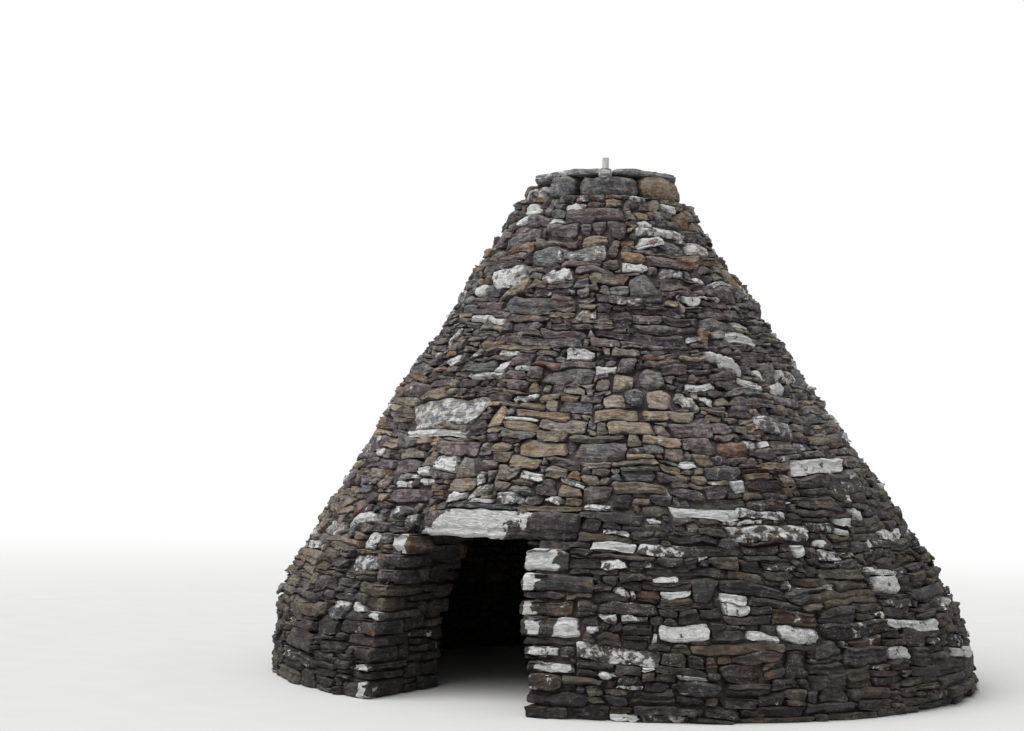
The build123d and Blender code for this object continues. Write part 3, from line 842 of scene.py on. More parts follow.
# stones that the photo shows one by one: each line is a stone's middle in the photo's pixels, as
# left x, left y, right x, right y and thickness; a look is rock colour, tone and lichen
seenStones = {
    "white": {"look": (0.64, 0.90, 0.73), "lines": [
        (725, 336, 753, 341, 12), (707, 355, 745, 371, 15), (755, 371, 766, 379, 7),
        (740, 380, 766, 388, 11), (770, 390, 790, 391, 10), (688, 387, 718, 386, 8),
        (700, 398, 713, 404, 8), (492, 279, 521, 275, 22), (477, 291, 487, 290, 12),
        (640, 224, 652, 224, 7), (640, 245, 664, 241, 11), (662, 206, 678, 211, 9), (622, 268, 648, 269, 9),
        (697, 280, 709, 283, 7), (500, 224, 514, 209, 10), (408, 433, 462, 434, 6), (445, 498, 465, 495, 9),
        (417, 471, 430, 471, 8), (416, 481, 430, 483, 6), (448, 362, 462, 358, 9), (520, 473, 540, 478, 7),
        (672, 513, 739, 517, 9), (648, 522, 662, 521, 6), (593, 545, 633, 549, 9), (601, 565, 627, 565, 10),
        (652, 580, 677, 581, 7), (615, 592, 628, 594, 9), (585, 629, 601, 631, 6), (658, 632, 711, 632, 14),
        (752, 635, 778, 641, 7), (783, 635, 823, 636, 17), (602, 676, 615, 676, 8),
        (793, 469, 838, 464, 13), (838, 522, 853, 523, 7), (855, 513, 868, 515, 8),
        (876, 585, 902, 585, 17), (866, 569, 874, 570, 9), (348, 524, 376, 515, 12),
        (361, 541, 378, 540, 16), (353, 604, 380, 612, 8), (396, 484, 410, 484, 5),
        (837, 532, 852, 535, 6)]},
    "pale": {"look": (0.59, 1.50, 0.57), "lines": [
        (678, 398, 700, 407, 12), (565, 255, 609, 252, 16), (543, 275, 575, 273, 14),
        (693, 249, 711, 252, 13), (659, 232, 684, 236, 9), (661, 273, 684, 274, 9),
        (577, 314, 594, 314, 10), (565, 207, 582, 206, 8), (630, 199, 648, 199, 6),
        (468, 495, 490, 487, 11), (403, 476, 417, 476, 4), (513, 398, 535, 396, 8), (471, 377, 500, 376, 6),
        (470, 357, 483, 351, 7), (443, 345, 460, 333, 14), (402, 378, 422, 364, 8), (498, 352, 520, 353, 5),
        (560, 480, 582, 486, 6), (546, 500, 560, 501, 7), (738, 513, 790, 517, 7), (728, 532, 808, 534, 18),
        (638, 550, 692, 553, 11), (598, 618, 618, 619, 8), (576, 649, 659, 660, 15),
        (755, 423, 798, 432, 14), (795, 446, 812, 447, 7), (745, 444, 757, 445, 9), (815, 545, 833, 544, 8),
        (820, 555, 842, 556, 8), (845, 555, 858, 554, 5), (782, 587, 797, 588, 7), (323, 527, 340, 530, 12),
        (385, 513, 397, 510, 9), (334, 605, 347, 605, 8), (345, 562, 373, 563, 16), (620, 618, 648, 619, 5),
        (640, 232, 656, 233, 8), (403, 522, 416, 518, 11), (495, 497, 520, 499, 13)]},
    "boulder": {"look": (0.54, 1.90, 0.61), "lines": [
        (408, 416, 481, 411, 29)]},
    "blueGrey": {"look": (0.52, 0.66, 0.40), "lines": [
        (528, 257, 556, 257, 21), (505, 245, 538, 233, 12), (639, 379, 663, 379, 24),
        (624, 397, 646, 398, 18), (524, 343, 579, 343, 8), (510, 489, 532, 492, 10),
        (676, 687, 721, 689, 15), (707, 713, 736, 713, 13), (655, 564, 680, 563, 8),
        (745, 558, 780, 558, 5), (662, 245, 694, 252, 15), (628, 287, 660, 288, 20),
        (327, 612, 345, 612, 15)]},
    "tan": {"look": (0.78, 0.72, 0.30), "lines": [
        (501, 296, 529, 285, 12), (612, 381, 630, 381, 20), (651, 398, 677, 400, 19),
        (596, 417, 640, 416, 10), (642, 415, 668, 415, 11), (669, 416, 697, 417, 10),
        (609, 428, 653, 430, 11), (445, 486, 474, 484, 14), (510, 461, 540, 464, 11),
        (520, 447, 562, 449, 13), (515, 412, 566, 418, 9), (762, 466, 792, 466, 9), (822, 575, 860, 575, 8),
        (582, 242, 609, 241, 12)]},
    "rust": {"look": (0.95, 0.60, 0.20), "lines": [
        (720, 450, 745, 449, 15), (640, 597, 656, 598, 12)]},
    "brown": {"look": (0.60, 0.50, 0.28), "lines": [
        (572, 452, 626, 451, 20), (546, 377, 592, 376, 15), (700, 325, 735, 327, 12),
        (615, 352, 640, 352, 9)]},
    "purple": {"look": (0.12, 0.62, 0.16), "lines": [
        (524, 221, 547, 222, 12), (608, 230, 628, 231, 18), (547, 232, 575, 233, 18),
        (673, 539, 717, 543, 8), (645, 571, 728, 574, 8), (596, 598, 625, 598, 8), (797, 512, 850, 516, 6),
        (388, 496, 430, 496, 13), (693, 552, 740, 554, 10), (720, 703, 760, 704, 10),
        (727, 688, 770, 690, 12), (645, 687, 670, 688, 9), (680, 703, 705, 703, 9),
        (320, 646, 344, 647, 11)]},
}


# how far the ends and edges of the stones seen may differ from the photo, in metres, and what makes one
# a slab or a cobble
seenFit = {"loose": (-0.03, 0.008), "thicker": 0.006, "nearCorner": 0.1, "least": 0.01,
           "hueSpread": 0.04, "toneSpread": 0.08, "lichenSpread": 0.03, "paleFrom": 0.5,
           "slabRatio": 3.4, "cobbleLichen": 0.38}


def stonesSeen(rng):
    seen = []
    for kind in seenStones.values():
        for left, leftDown, right, rightDown, thick in kind["lines"]:
            ends = [onWall(left, leftDown), onWall(right, rightDown)]
            if None in ends:
                continue
            bearings, levels = [], []
            for bearing, level, _ in ends:
                radius = ringAt(outerLine, level)[2]
                along, up, _ = driftAt(*pointOn(outerLine, bearing, level), level)
                loose = rng.uniform(*seenFit["loose"]) * (1 if not bearings else -1)  # ends never line up
                bearings.append(bearing + (loose - along) / radius)
                levels.append(level - up)
            tall = thick * (ends[0][2] + ends[1][2]) / 2 / view["focal"] + seenFit["thicker"]
            for start, end, low, high in rightBlocks + leftBlocks:  # it ends where a corner stone starts
                if min(levels) - tall / 2 < high and max(levels) + tall / 2 > low:
                    if start < end and bearings[0] > start - seenFit["nearCorner"]:
                        bearings[0] = max(bearings[0], end)
                    elif start > end and bearings[1] < start + seenFit["nearCorner"]:
                        bearings[1] = min(bearings[1], end)
            if bearings[1] - bearings[0] > seenFit["least"]:
                seen.append((bearings, levels, tall, kind["look"]))
    return seen


# the doorway's corner stones from the foot up: height, length along the wall, depth into the passage,
# how far it stands back, rock colour, tone and lichen, then its white patches, each as from, to and
# amount along the wall from the arris
cornerStones = {
    1: [
        (0.085, 0.30, 0.40, 0.00, 0.20, 0.35, 0.15, []),
        (0.095, 0.42, 0.42, 0.03, 0.08, 0.45, 0.10, []),
        (0.120, 0.24, 0.30, 0.00, 0.88, 0.28, 0.46, []),
        (0.075, 0.34, 0.45, 0.00, 0.42, 0.55, 0.20, [(0.08, 0.31, 0.80)]),
        (0.030, 0.30, 0.35, 0.05, 0.10, 0.30, 0.10, []),
        (0.075, 0.24, 0.28, 0.00, 0.72, 0.78, 0.64, []),
        (0.050, 0.36, 0.50, 0.04, 0.05, 0.35, 0.10, []),
        (0.140, 0.41, 0.34, 0.00, 0.58, 0.75, 0.34, [(0.02, 0.11, 0.88), (0.22, 0.40, 0.90)]),
        (0.105, 0.38, 0.46, 0.00, 0.86, 0.50, 0.42, [(0.0, 0.08, 0.74)]),
        (0.055, 0.30, 0.40, 0.04, 0.20, 0.30, 0.10, []),
        (0.125, 0.50, 0.30, 0.00, 0.54, 0.50, 0.24, [(0.0, 0.10, 0.86)]),
        (0.160, 0.33, 0.44, 0.00, 0.66, 0.78, 0.52, [(0.0, 0.24, 0.84)]),
        (0.050, 0.25, 0.36, 0.06, 0.15, 0.25, 0.12, [])],
    -1: [
        (0.125, 0.30, 0.46, 0.00, 0.38, 0.40, 0.25, [(0.02, 0.12, 0.76)]),
        (0.065, 0.22, 0.34, 0.02, 0.10, 0.35, 0.20, []),
        (0.060, 0.20, 0.50, 0.00, 0.40, 0.45, 0.25, [(0.03, 0.13, 0.80)]),
        (0.115, 0.20, 0.36, 0.00, 0.14, 0.62, 0.18, []),
        (0.080, 0.30, 0.44, 0.02, 0.30, 0.40, 0.30, []),
        (0.110, 0.16, 0.36, 0.00, 0.52, 0.60, 0.36, []),
        (0.060, 0.12, 0.48, 0.00, 0.66, 0.75, 0.35, [(0.0, 0.12, 0.86)]),
        (0.100, 0.20, 0.30, 0.02, 0.86, 0.45, 0.25, []),
        (0.090, 0.25, 0.48, 0.00, 0.84, 0.50, 0.30, []),
        (0.110, 0.20, 0.34, 0.01, 0.30, 0.45, 0.30, []),
        (0.105, 0.25, 0.44, 0.00, 0.20, 0.40, 0.25, []),
        (0.145, 0.19, 0.34, 0.00, 0.82, 0.40, 0.20, [(0.02, 0.19, 0.84)])],
}

# how they are cut, in metres; inwardAt and the lichen on their sides are shares
cornerCut = {"column": 0.035, "columnsLeast": 5, "nearEdge": 0.015, "inwardAt": (0.04, 0.2, 0.4, 0.7, 1.0),
             "arris": 0.8, "arrisWorn": (0.002, 0.012), "loose": 0.008, "patchTurns": 15, "patchEdge": 0.05,
             "sideFrom": 0.012, "sideLichen": 0.4, "joint": (0.006, 0.014), "deep": 0.16, "shrink": 0.92,
             "lean": 0.3}


def layCorners(side, rng):
    stones = cornerStones[side]
    scale = doorTop / sum(stone[0] for stone in stones)
    level = 0.0
    name = "right_jamb" if side > 0 else "left_jamb"
    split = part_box(name + "_head")[0][2]
    blocks, fills = [], []
    for tall, long, deep, setBack, hue, tone, lichen, patches in stones:
        tall *= scale
        middle = level + tall / 2
        jamb = doorSideAt(side, middle)
        x, y, radius = ringAt(outerLine, middle)
        edge = -math.acos((jamb - x) / radius)  # bearing of the arris
        turn = side * long / radius
        corner = np.array([jamb, y + radius * math.sin(edge)])
        steps = max(cornerCut["columnsLeast"], round(long / cornerCut["column"]))
        outside = [np.array(pointOn(outerLine, edge + turn * step / steps, middle))
                   for step in range(1, steps + 1)]
        nearEdge = np.array(pointOn(outerLine, edge + turn * cornerCut["nearEdge"] / long, middle))
        inward = [corner + np.array([0, deep * share]) for share in cornerCut["inwardAt"]]
        outNormal = np.array([math.cos(edge + turn / 2), math.sin(edge + turn / 2)])
        sideNormal = np.array([-side, 0.0])
        blend = (outNormal + sideNormal) * cornerCut["arris"]
        arris = corner - blend * rng.uniform(*cornerCut["arrisWorn"])
        path = inward[::-1] + [arris] + [nearEdge] + outside
        normals = [sideNormal] * len(inward) + [blend] + [outNormal] * (steps + 1)
        path = np.array(path) + outNormal * (rng.normal(0, cornerCut["loose"]) - setBack)
        path = path + sideNormal * rng.normal(0, cornerCut["loose"])
        if side < 0:
            path, normals = path[::-1], normals[::-1]

        def patchy(px, py, pz):  # the edges of the white patches wander
            if (px - corner[0]) * side < cornerCut["sideFrom"]:
                return lichen * cornerCut["sideLichen"]
            wander = noise.noise(Vector((px, py, pz)) * cornerCut["patchTurns"]) * cornerCut["patchEdge"]
            away = math.hypot(px - corner[0], py - corner[1]) + wander
            return max([lichen] + [amount for start, end, amount in patches if start <= away <= end])

        gap = rng.uniform(*cornerCut["joint"]) / 2
        cutStone(pieces[name + ("_foot" if middle < split else "_head")], path, normals, level + gap,
                 level + tall - gap, cornerCut["deep"], (hue, tone, lichen), "corner", rng,
                 shrink=cornerCut["shrink"], lean=slopeAt(outerLine, middle) * cornerCut["lean"],
                 lichen=patchy, ringBack=True)
        blocks.append((edge, edge + turn, level, level + tall))
        fills.append((deep, level, level + tall))
        level += tall
    return blocks, fills


masonRandom = np.random.default_rng(11)
rightBlocks, rightFills = layCorners(1, masonRandom)
leftBlocks, leftFills = layCorners(-1, masonRandom)
print("doorway corners laid")


lintelSurvey = {"columns": 61, "rows": 90, "sideIn": 0.004, "bedIn": 0.001, "from": -4}


def lintelOutline():  # the slab's lower and upper edge along its front, read from its solid
    tree = treeOf(["outer_lintel"])[0]
    low, high = lintelBox
    middle = (doorTop + high[2]) / 2
    found = []
    for across in np.linspace(low[0] + lintelSurvey["sideIn"], high[0] - lintelSurvey["sideIn"],
                              lintelSurvey["columns"]):
        seen = []
        for level in np.linspace(low[2] + lintelSurvey["bedIn"], high[2] - lintelSurvey["bedIn"],
                                 lintelSurvey["rows"]):
            hit = tree.ray_cast(Vector((across, lintelSurvey["from"], level)), Vector((0, 1, 0)))[0]
            if hit:
                seen.append((level, hit.y))
        if seen:
            fronts = [y for level, y in seen]
            found.append((across, float(np.median(fronts)), seen[0][0], seen[-1][0]))
    return np.array(found), middle


lintelLine, lintelMiddle = lintelOutline()


clearance = {"doorLevel": 0.1, "doorStep": 0.01, "lintel": 0.004}


def takenOutside(seen):
    taken = []
    for start, end, low, high in rightBlocks + leftBlocks:
        first, last = sorted((binOf(outerFace, start), binOf(outerFace, end)))
        taken.append((round(first), round(last), low, high))
    # the opening itself, bin by bin, and the lintel over it
    x, y, radius = ringAt(outerLine, clearance["doorLevel"])
    first, last = (binOf(outerFace, -math.acos((doorSideAt(side, 0) - x) / radius)) for side in (-1, 1))
    for at in range(math.floor(first) - 1, math.ceil(last) + 2):
        bearing = at / outerFace["bins"] * 2 * math.pi
        high = 0.0
        while high < doorTop and inDoorway(pointOn(outerLine, bearing, high)[0], high):
            high += clearance["doorStep"]
        if high > 0:
            taken.append((at, at + 1, 0.0, high))
    x, y, radius = ringAt(outerLine, lintelMiddle)
    ends = [binOf(outerFace, -math.acos((lintelLine[at][0] - x) / radius)) for at in (0, -1)]
    for at in range(round(ends[0]), round(ends[1])):
        across = x + radius * math.cos(at / outerFace["bins"] * 2 * math.pi)
        low, high = (np.interp(across, lintelLine[:, 0], lintelLine[:, part]) for part in (2, 3))
        taken.append((at, at + 1, low - clearance["lintel"], high + clearance["lintel"]))
    for bearings, levels, tall, look in seen:
        first, last = round(binOf(outerFace, bearings[0])), round(binOf(outerFace, bearings[1]))
        for at in range(first, last):
            level = levels[0] + (levels[1] - levels[0]) * (at + 0.5 - first) / max(1, last - first)
            taken.append((at, at + 1, level - tall / 2, level + tall / 2))
    return taken


# how a stone sits: straight across its chord by one share and along the wall's curve by the other,
# and how far it may stand out or back; lengths in metres
stoneLaying = {"lookFrom": 1.5, "bedGap": 0.7, "leastLong": 0.02, "leastTall": 0.012, "columnsMost": 16,
               "columnsLeast": 4, "columnsLeastInside": 3, "chord": 0.45, "curve": 0.55, "thin": 0.045,
               "proudThin": 0.018, "proudThick": 0.030, "sunk": -0.024}


def ownerAt(bearing, level, inside=False):
    line = innerLine if inside else outerLine
    x, y, radius = ringAt(line, min(level, line[0][-1]))
    way = wayTo(bearing)
    start = Vector((x, y, level)) + (way * 0 if inside else way * (radius + stoneLaying["lookFrom"]))
    index = wallTree.ray_cast(start, way if inside else -way)[2]
    return wallOwners[index] if index is not None else None


def layStone(face, line, bearings, floor, roof, kind, look, rng, inside=False):
    start, end = bearings
    middle = float(np.mean(floor) + np.mean(roof)) / 2
    bearing = (start + end) / 2
    owner = ownerAt(bearing, middle, inside)
    if owner is None:
        return 0
    radius = ringAt(line, middle)[2]
    gap = rng.uniform(*face["joint"]) / 2
    start, end = start + gap / radius, end - gap / radius
    long = (end - start) * radius
    bedGap = gap * stoneLaying["bedGap"]
    tall = float(np.mean(roof) - np.mean(floor)) - 2 * gap * stoneLaying["bedGap"]
    if long < stoneLaying["leastLong"] or tall < stoneLaying["leastTall"]:
        return 0
    form = "hidden" if inside else kind
    columns = round(long / stoneForms[form]["cell"])
    columns = max(stoneLaying["columnsLeastInside" if inside else "columnsLeast"], columns)
    columns = int(min(stoneLaying["columnsMost"], columns))
    places = np.linspace(0, 1, columns + 1)
    lows = stretched(floor, places) + bedGap
    highs = stretched(roof, places) - bedGap
    chord = [np.array(pointOn(line, at, middle)) for at in (start, end)]
    path = []
    for share in places:
        straight = chord[0] + (chord[1] - chord[0]) * share
        curved = np.array(pointOn(line, start + (end - start) * share, middle))
        path.append(straight * stoneLaying["chord"] + curved * stoneLaying["curve"])
    path = np.array(path)
    normal = np.array([math.cos(bearing), math.sin(bearing)])
    if inside:
        normal, path, lows, highs = -normal, path[::-1], lows[::-1], highs[::-1]
    proud = stoneLaying["proudThick" if tall > stoneLaying["thin"] else "proudThin"]
    path = path + normal * clamped(rng.normal(0, face["proud"]), stoneLaying["sunk"], proud)
    lean = slopeAt(line, middle) * rng.uniform(*face["lean"]) * (-1 if inside else 1)
    cutStone(pieces[owner], path, [normal] * (columns + 1), lows, highs, rng.uniform(*face["deep"]), look,
             form, rng, lean=lean, yaw=rng.normal(0, face["yaw"]), drifting=not inside)
    return 1


def layFace(face, line, top, taken, rng, inside=False):
    plan = dict(face, top=top, sizes=sizesFor(face),
                width=lambda level: 2 * math.pi / face["bins"] * ringAt(line, level)[2])
    laid = 0
    for first, last, floor, roof, kind in packFace(plan, taken, rng):
        bearings = [at / face["bins"] * 2 * math.pi for at in (first, last)]
        facing = math.cos(sum(bearings) / 2 + math.pi / 2 - math.radians(view["bearing"]))
        # the camera's side has the pale stones seen in the photo as well, so it takes fewer from here
        lichenShare = face["lichen" if facing > face["behindFrom"] else "lichenBehind"]
        look = lookOf(rng, float(floor[0]), lichenShare, face["paintedShade"])
        laid += layStone(face, line, bearings, floor, roof, kind, look, rng, inside)
    return laid


seenOnes = stonesSeen(masonRandom)
print("outer stones:", layFace(outerFace, outerLine, crownTop, takenOutside(seenOnes), masonRandom))
for bearings, levels, tall, (hue, tone, lichen) in seenOnes:
    long = (bearings[1] - bearings[0]) * ringAt(outerLine, levels[0])[2]
    floor, roof = (np.array(levels) + half for half in (-tall / 2, tall / 2))
    kind = "cobble" if lichen > seenFit["cobbleLichen"] else "block"
    if long > seenFit["slabRatio"] * tall:
        kind = "slab"
    hue = clamped(hue + masonRandom.normal(0, seenFit["hueSpread"]))
    tone = tone + masonRandom.normal(0, seenFit["toneSpread"])
    if lichen > seenFit["paleFrom"]:
        lichen = lichen + masonRandom.normal(0, seenFit["lichenSpread"])
    layStone(outerFace, outerLine, bearings, floor, roof, kind, (hue, tone, lichen), masonRandom)
print("stones seen in the photo:", len(seenOnes))


insideDoor = {"ringLevel": 0.5, "sideLevel": 0.1, "beside": 0.02, "above": 0.17}


def takenInside():
    x, y, radius = ringAt(innerLine, insideDoor["ringLevel"])
    sides = [doorSideAt(side, insideDoor["sideLevel"]) + side * insideDoor["beside"] for side in (-1, 1)]
    first, last = sorted(binOf(innerFace, -math.acos((side - x) / radius)) for side in sides)
    return [(round(first), round(last), 0.0, doorTop + insideDoor["above"])]


print("inner stones:", layFace(innerFace, innerLine, chamberTop, takenInside(), masonRandom, inside=True))


# the sides of the passage, behind the corner stones, given a lower tone as painted shade
passageFace = {"bins": 90, "reach": 1.05, "foot": 0.0, "around": False, "even": 0.012, "skip": 0.03,
               "narrowest": 0.11, "longest": 1.0, "thinnest": 0.035, "sizes": [(0.0, 0.09, 0.25, 3.0, 0.3)],
               "tilt": (1.0, 2.0), "chip": 0.08, "deep": (0.15, 0.2), "endGap": 0.006, "bedGap": 0.005,
               "leastLong": 0.05, "leastTall": 0.03, "column": 0.06, "yaw": 0.03, "paintedShade": 0.2}


def layPassage(side, fills, rng):
    reach, bins = passageFace["reach"], passageFace["bins"]
    taken = [(0, round(deep / reach * bins), low, high) for deep, low, high in fills]
    plan = dict(passageFace, top=doorTop, sizes=sizesFor(passageFace), width=lambda level: reach / bins)
    name = "right_jamb" if side > 0 else "left_jamb"
    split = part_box(name + "_head")[0][2]
    for first, last, floor, roof, kind in packFace(plan, taken, rng):
        middle = float(np.mean(floor) + np.mean(roof)) / 2
        jamb = doorSideAt(side, middle)
        x, y, radius = ringAt(outerLine, middle)
        mouth = y - math.sqrt(radius ** 2 - (jamb - x) ** 2)
        inner = ringAt(innerLine, middle)
        back = inner[1] - math.sqrt(inner[2] ** 2 - (jamb - inner[0]) ** 2)
        near = mouth + first / bins * reach + passageFace["endGap"]
        far = min(mouth + last / bins * reach - passageFace["endGap"], back)
        if far - near < passageFace["leastLong"] or np.mean(roof - floor) < passageFace["leastTall"]:
            continue
        places = np.linspace(0, 1, max(3, round((far - near) / passageFace["column"])) + 1)
        path = np.array([[jamb, far + (near - far) * share] for share in places])
        lows = stretched(floor[::-1], places) + passageFace["bedGap"]
        highs = stretched(roof[::-1], places) - passageFace["bedGap"]
        if side < 0:
            path, lows, highs = path[::-1], lows[::-1], highs[::-1]
        cutStone(pieces[name + ("_foot" if middle < split else "_head")], path,
                 [np.array([-side, 0.0])] * len(path), lows, highs, rng.uniform(*passageFace["deep"]),
                 lookOf(rng, middle, 0.0, passageFace["paintedShade"]), "hidden", rng,
                 yaw=rng.normal(0, passageFace["yaw"]))


layPassage(1, rightFills, masonRandom)
layPassage(-1, leftFills, masonRandom)
print("passage sides laid")


# the lintels: the outer one is a long slab with lichen over its left half, the others lie behind it;
# the edges of the lichen are lines in the photo's pixels, as x and y of two points, and they wander
# by noise, as turns in a metre and reach in pixels
lintelWork = {"columns": 56, "hue": 0.16, "tone": 0.68, "leftEdge": (420, 533, 452, 509),
              "rightEdge": (505, 530, 519, 509), "island": (524, 521, 7), "white": 0.84, "bare": 0.36,
              "wander": ((16, 9), (40, 6)), "soft": 6, "fan": 0.25, "backIn": 0.05, "shrink": 0.97,
              "innerColumns": 24, "innerFront": 0.01, "innerBackIn": 0.02, "innerPaintedShade": 0.2}


def pixelOf(x, y, z):
    seen = camera.rotation_quaternion.inverted() @ (Vector((x, y, z)) - camera.location)
    return (view["imageWide"] / 2 - seen.x / seen.z * view["focal"],
            view["imageTall"] / 2 + seen.y / seen.z * view["focal"])


def lintelLichen(x, y, z):
    across, down = pixelOf(x, y, z)
    inside = []
    for key in ("leftEdge", "rightEdge"):
        x0, y0, x1, y1 = lintelWork[key]
        inside.append(across - (x0 + (x1 - x0) * (down - y0) / (y1 - y0)))
    patch = min(inside[0], -inside[1])
    middle = lintelWork["island"]
    patch = max(patch, middle[2] - math.hypot(across - middle[0], down - middle[1]))
    for turns, reach in lintelWork["wander"]:
        patch += noise.noise(Vector((x, y, z)) * turns) * reach
    share = clamped(patch / lintelWork["soft"] + 0.5)
    return lintelWork["bare"] + (lintelWork["white"] - lintelWork["bare"]) * share


def layOuterLintel(rng):
    across = np.linspace(lintelLine[0][0], lintelLine[-1][0], lintelWork["columns"] + 1)
    front, low, high = (np.interp(across, lintelLine[:, 0], lintelLine[:, part]) for part in (1, 2, 3))
    path = np.column_stack((across, smoothed(front)))
    normals = np.array([[lintelWork["fan"] * (x - across.mean()), -1.0] for x in across])
    deep = lintelBox[1][1] - lintelBox[0][1] - lintelWork["backIn"]
    look = (lintelWork["hue"], lintelWork["tone"], lintelWork["bare"])
    cutStone(pieces["outer_lintel"], path, normals, low, high, deep, look, "lintel", rng,
             lichen=lintelLichen, ringBack=True, shrink=lintelWork["shrink"])


layOuterLintel(masonRandom)
for name in ("middle_lintel", "inner_lintel"):
    low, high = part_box(name)
    path = [np.array([across, low[1] + lintelWork["innerFront"]])
            for across in np.linspace(low[0], high[0], lintelWork["innerColumns"] + 1)]
    # painted shade: the inner lintels are given a lower tone
    look = lookOf(masonRandom, low[2], 0.0, lintelWork["innerPaintedShade"])
    cutStone(pieces[name], path, [np.array([0.0, -1.0])] * len(path), low[2], high[2],
             high[1] - low[1] - lintelWork["innerBackIn"], look, "lintel", masonRandom, ringBack=True,
             shrink=1.0)


# the crown: the camera's roll leaves its top level in the photo, so it rises a little to the right
crown = {"rise": 0.020, "gap": 0.010, "columnLength": 0.035, "thinner": 0.034, "reach": 0.63,
         "columnsLeast": 5, "secondBack": 0.02, "rimDeep": 0.2, "rimLean": 0.15, "capSides": 56}
crownRise = (crown["rise"] * math.cos(math.radians(view["bearing"])),
             crown["rise"] * math.sin(math.radians(view["bearing"])))


# a slab with a broken outline: rings of points from its lower bed to its upper one, each by its share
# of the height and how far it stands in, and then the rings on its top
slabCut = {"rings": ((0, 0.014), (0.14, 0.004), (0.35, 0.0), (0.6, 0.003), (0.85, 0.008), (1, 0.022)),
           "topRings": (0.8, 0.6, 0.35), "ragged": 0.010, "insetSpread": (0.5, 1.4), "ringSpread": 0.004,
           "uneven": 0.002, "topUneven": 0.003}


def cutSlab(masonry, outline, low, high, look, rng, wear=1.0):
    outline = np.array(outline)
    middle = outline.mean(axis=0)
    count = len(outline)
    tall = high - low
    rings = []
    ragged = smoothed(rng.normal(0, slabCut["ragged"], count)) * wear
    away = outline - middle
    reach = np.linalg.norm(away, axis=1)
    for share, inset in slabCut["rings"]:
        scale = (reach - inset * rng.uniform(*slabCut["insetSpread"], count) * wear - np.abs(ragged)
                 + rng.normal(0, slabCut["ringSpread"]) * wear) / reach
        level = low + share * tall + rng.normal(0, slabCut["uneven"], count) * wear
        rings.append(np.column_stack((middle + away * scale[:, None], level)))
    for share in slabCut["topRings"]:
        level = high + rng.normal(0, slabCut["topUneven"], count) * wear
        rings.append(np.column_stack((middle + away * share, level)))
    points = np.concatenate(rings + [np.array([[*middle, high]])])
    points[:, 2] += points[:, 0] * crownRise[0] + points[:, 1] * crownRise[1]
    faces = []
    for ring in range(len(rings) - 1):
        for at in range(count):
            after = (at + 1) % count
            faces.append((ring * count + at, ring * count + after, (ring + 1) * count + after,
                          (ring + 1) * count + at))
    last = (len(rings) - 1) * count
    faces += [(last + at, last + (at + 1) % count, last + count) for at in range(count)]
    faces.append(tuple(range(count - 1, -1, -1)))
    looks = np.tile(np.array([*look, 0.6]), (len(points), 1))
    masonry.add(points, faces, looks, rng.uniform(*stoneCut["grainShift"], 3))


def outlineOf(name, level, middle, count):
    tree = treeOf([name])[0]
    line = []
    for bearing in np.linspace(0, 2 * math.pi, count, endpoint=False):
        hit = tree.ray_cast(Vector((middle[0], middle[1], level)), wayTo(bearing))[0]
        line.append((hit.x, hit.y))
    return line


# rim blocks by the bearing at which each starts: rock colour, tone, lichen, form, the shares of its
# height at which its top lies, where two shares are two stones, and how far it stands back
rimLooks = {
    252: (0.55, 0.62, 0.38, "rim", (0.98,), 0.0), 278: (0.50, 0.05, 0.22, "rim", (0.86,), 0.0),
    325: (0.86, 0.55, 0.24, "rim", (1.0,), 0.030), 216: (0.62, 0.90, 0.60, "cobble", (0.66, 0.60), 0.0),
    180: (0.42, 0.5, 0.3, "block", (0.95,), 0.0), 136: (0.3, 0.4, 0.5, "slab", (0.92,), 0.0),
    98: (0.68, 0.5, 0.2, "block", (0.9, 0.8), 0.0), 53: (0.1, 0.5, 0.5, "slab", (0.95,), 0.020),
    15: (0.5, 0.4, 0.3, "block", (0.96,), 0.040),
}


def looseParts(name):
    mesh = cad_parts[name].data
    parent = list(range(len(mesh.vertices)))

    def rootOf(at):
        while parent[at] != at:
            parent[at] = parent[parent[at]]
            at = parent[at]
        return at

    places = {}
    for vertex in mesh.vertices:  # corners that share a place belong together
        key = tuple(round(value, 5) for value in vertex.co)
        if key in places:
            parent[rootOf(vertex.index)] = rootOf(places[key])
        places[key] = vertex.index
    for face in mesh.polygons:
        first = rootOf(face.vertices[0])
        for other in face.vertices:
            parent[rootOf(other)] = first
    groups = {}
    for vertex in mesh.vertices:
        groups.setdefault(rootOf(vertex.index), []).append(np.array(vertex.co))
    return [np.array(group) for group in groups.values()]


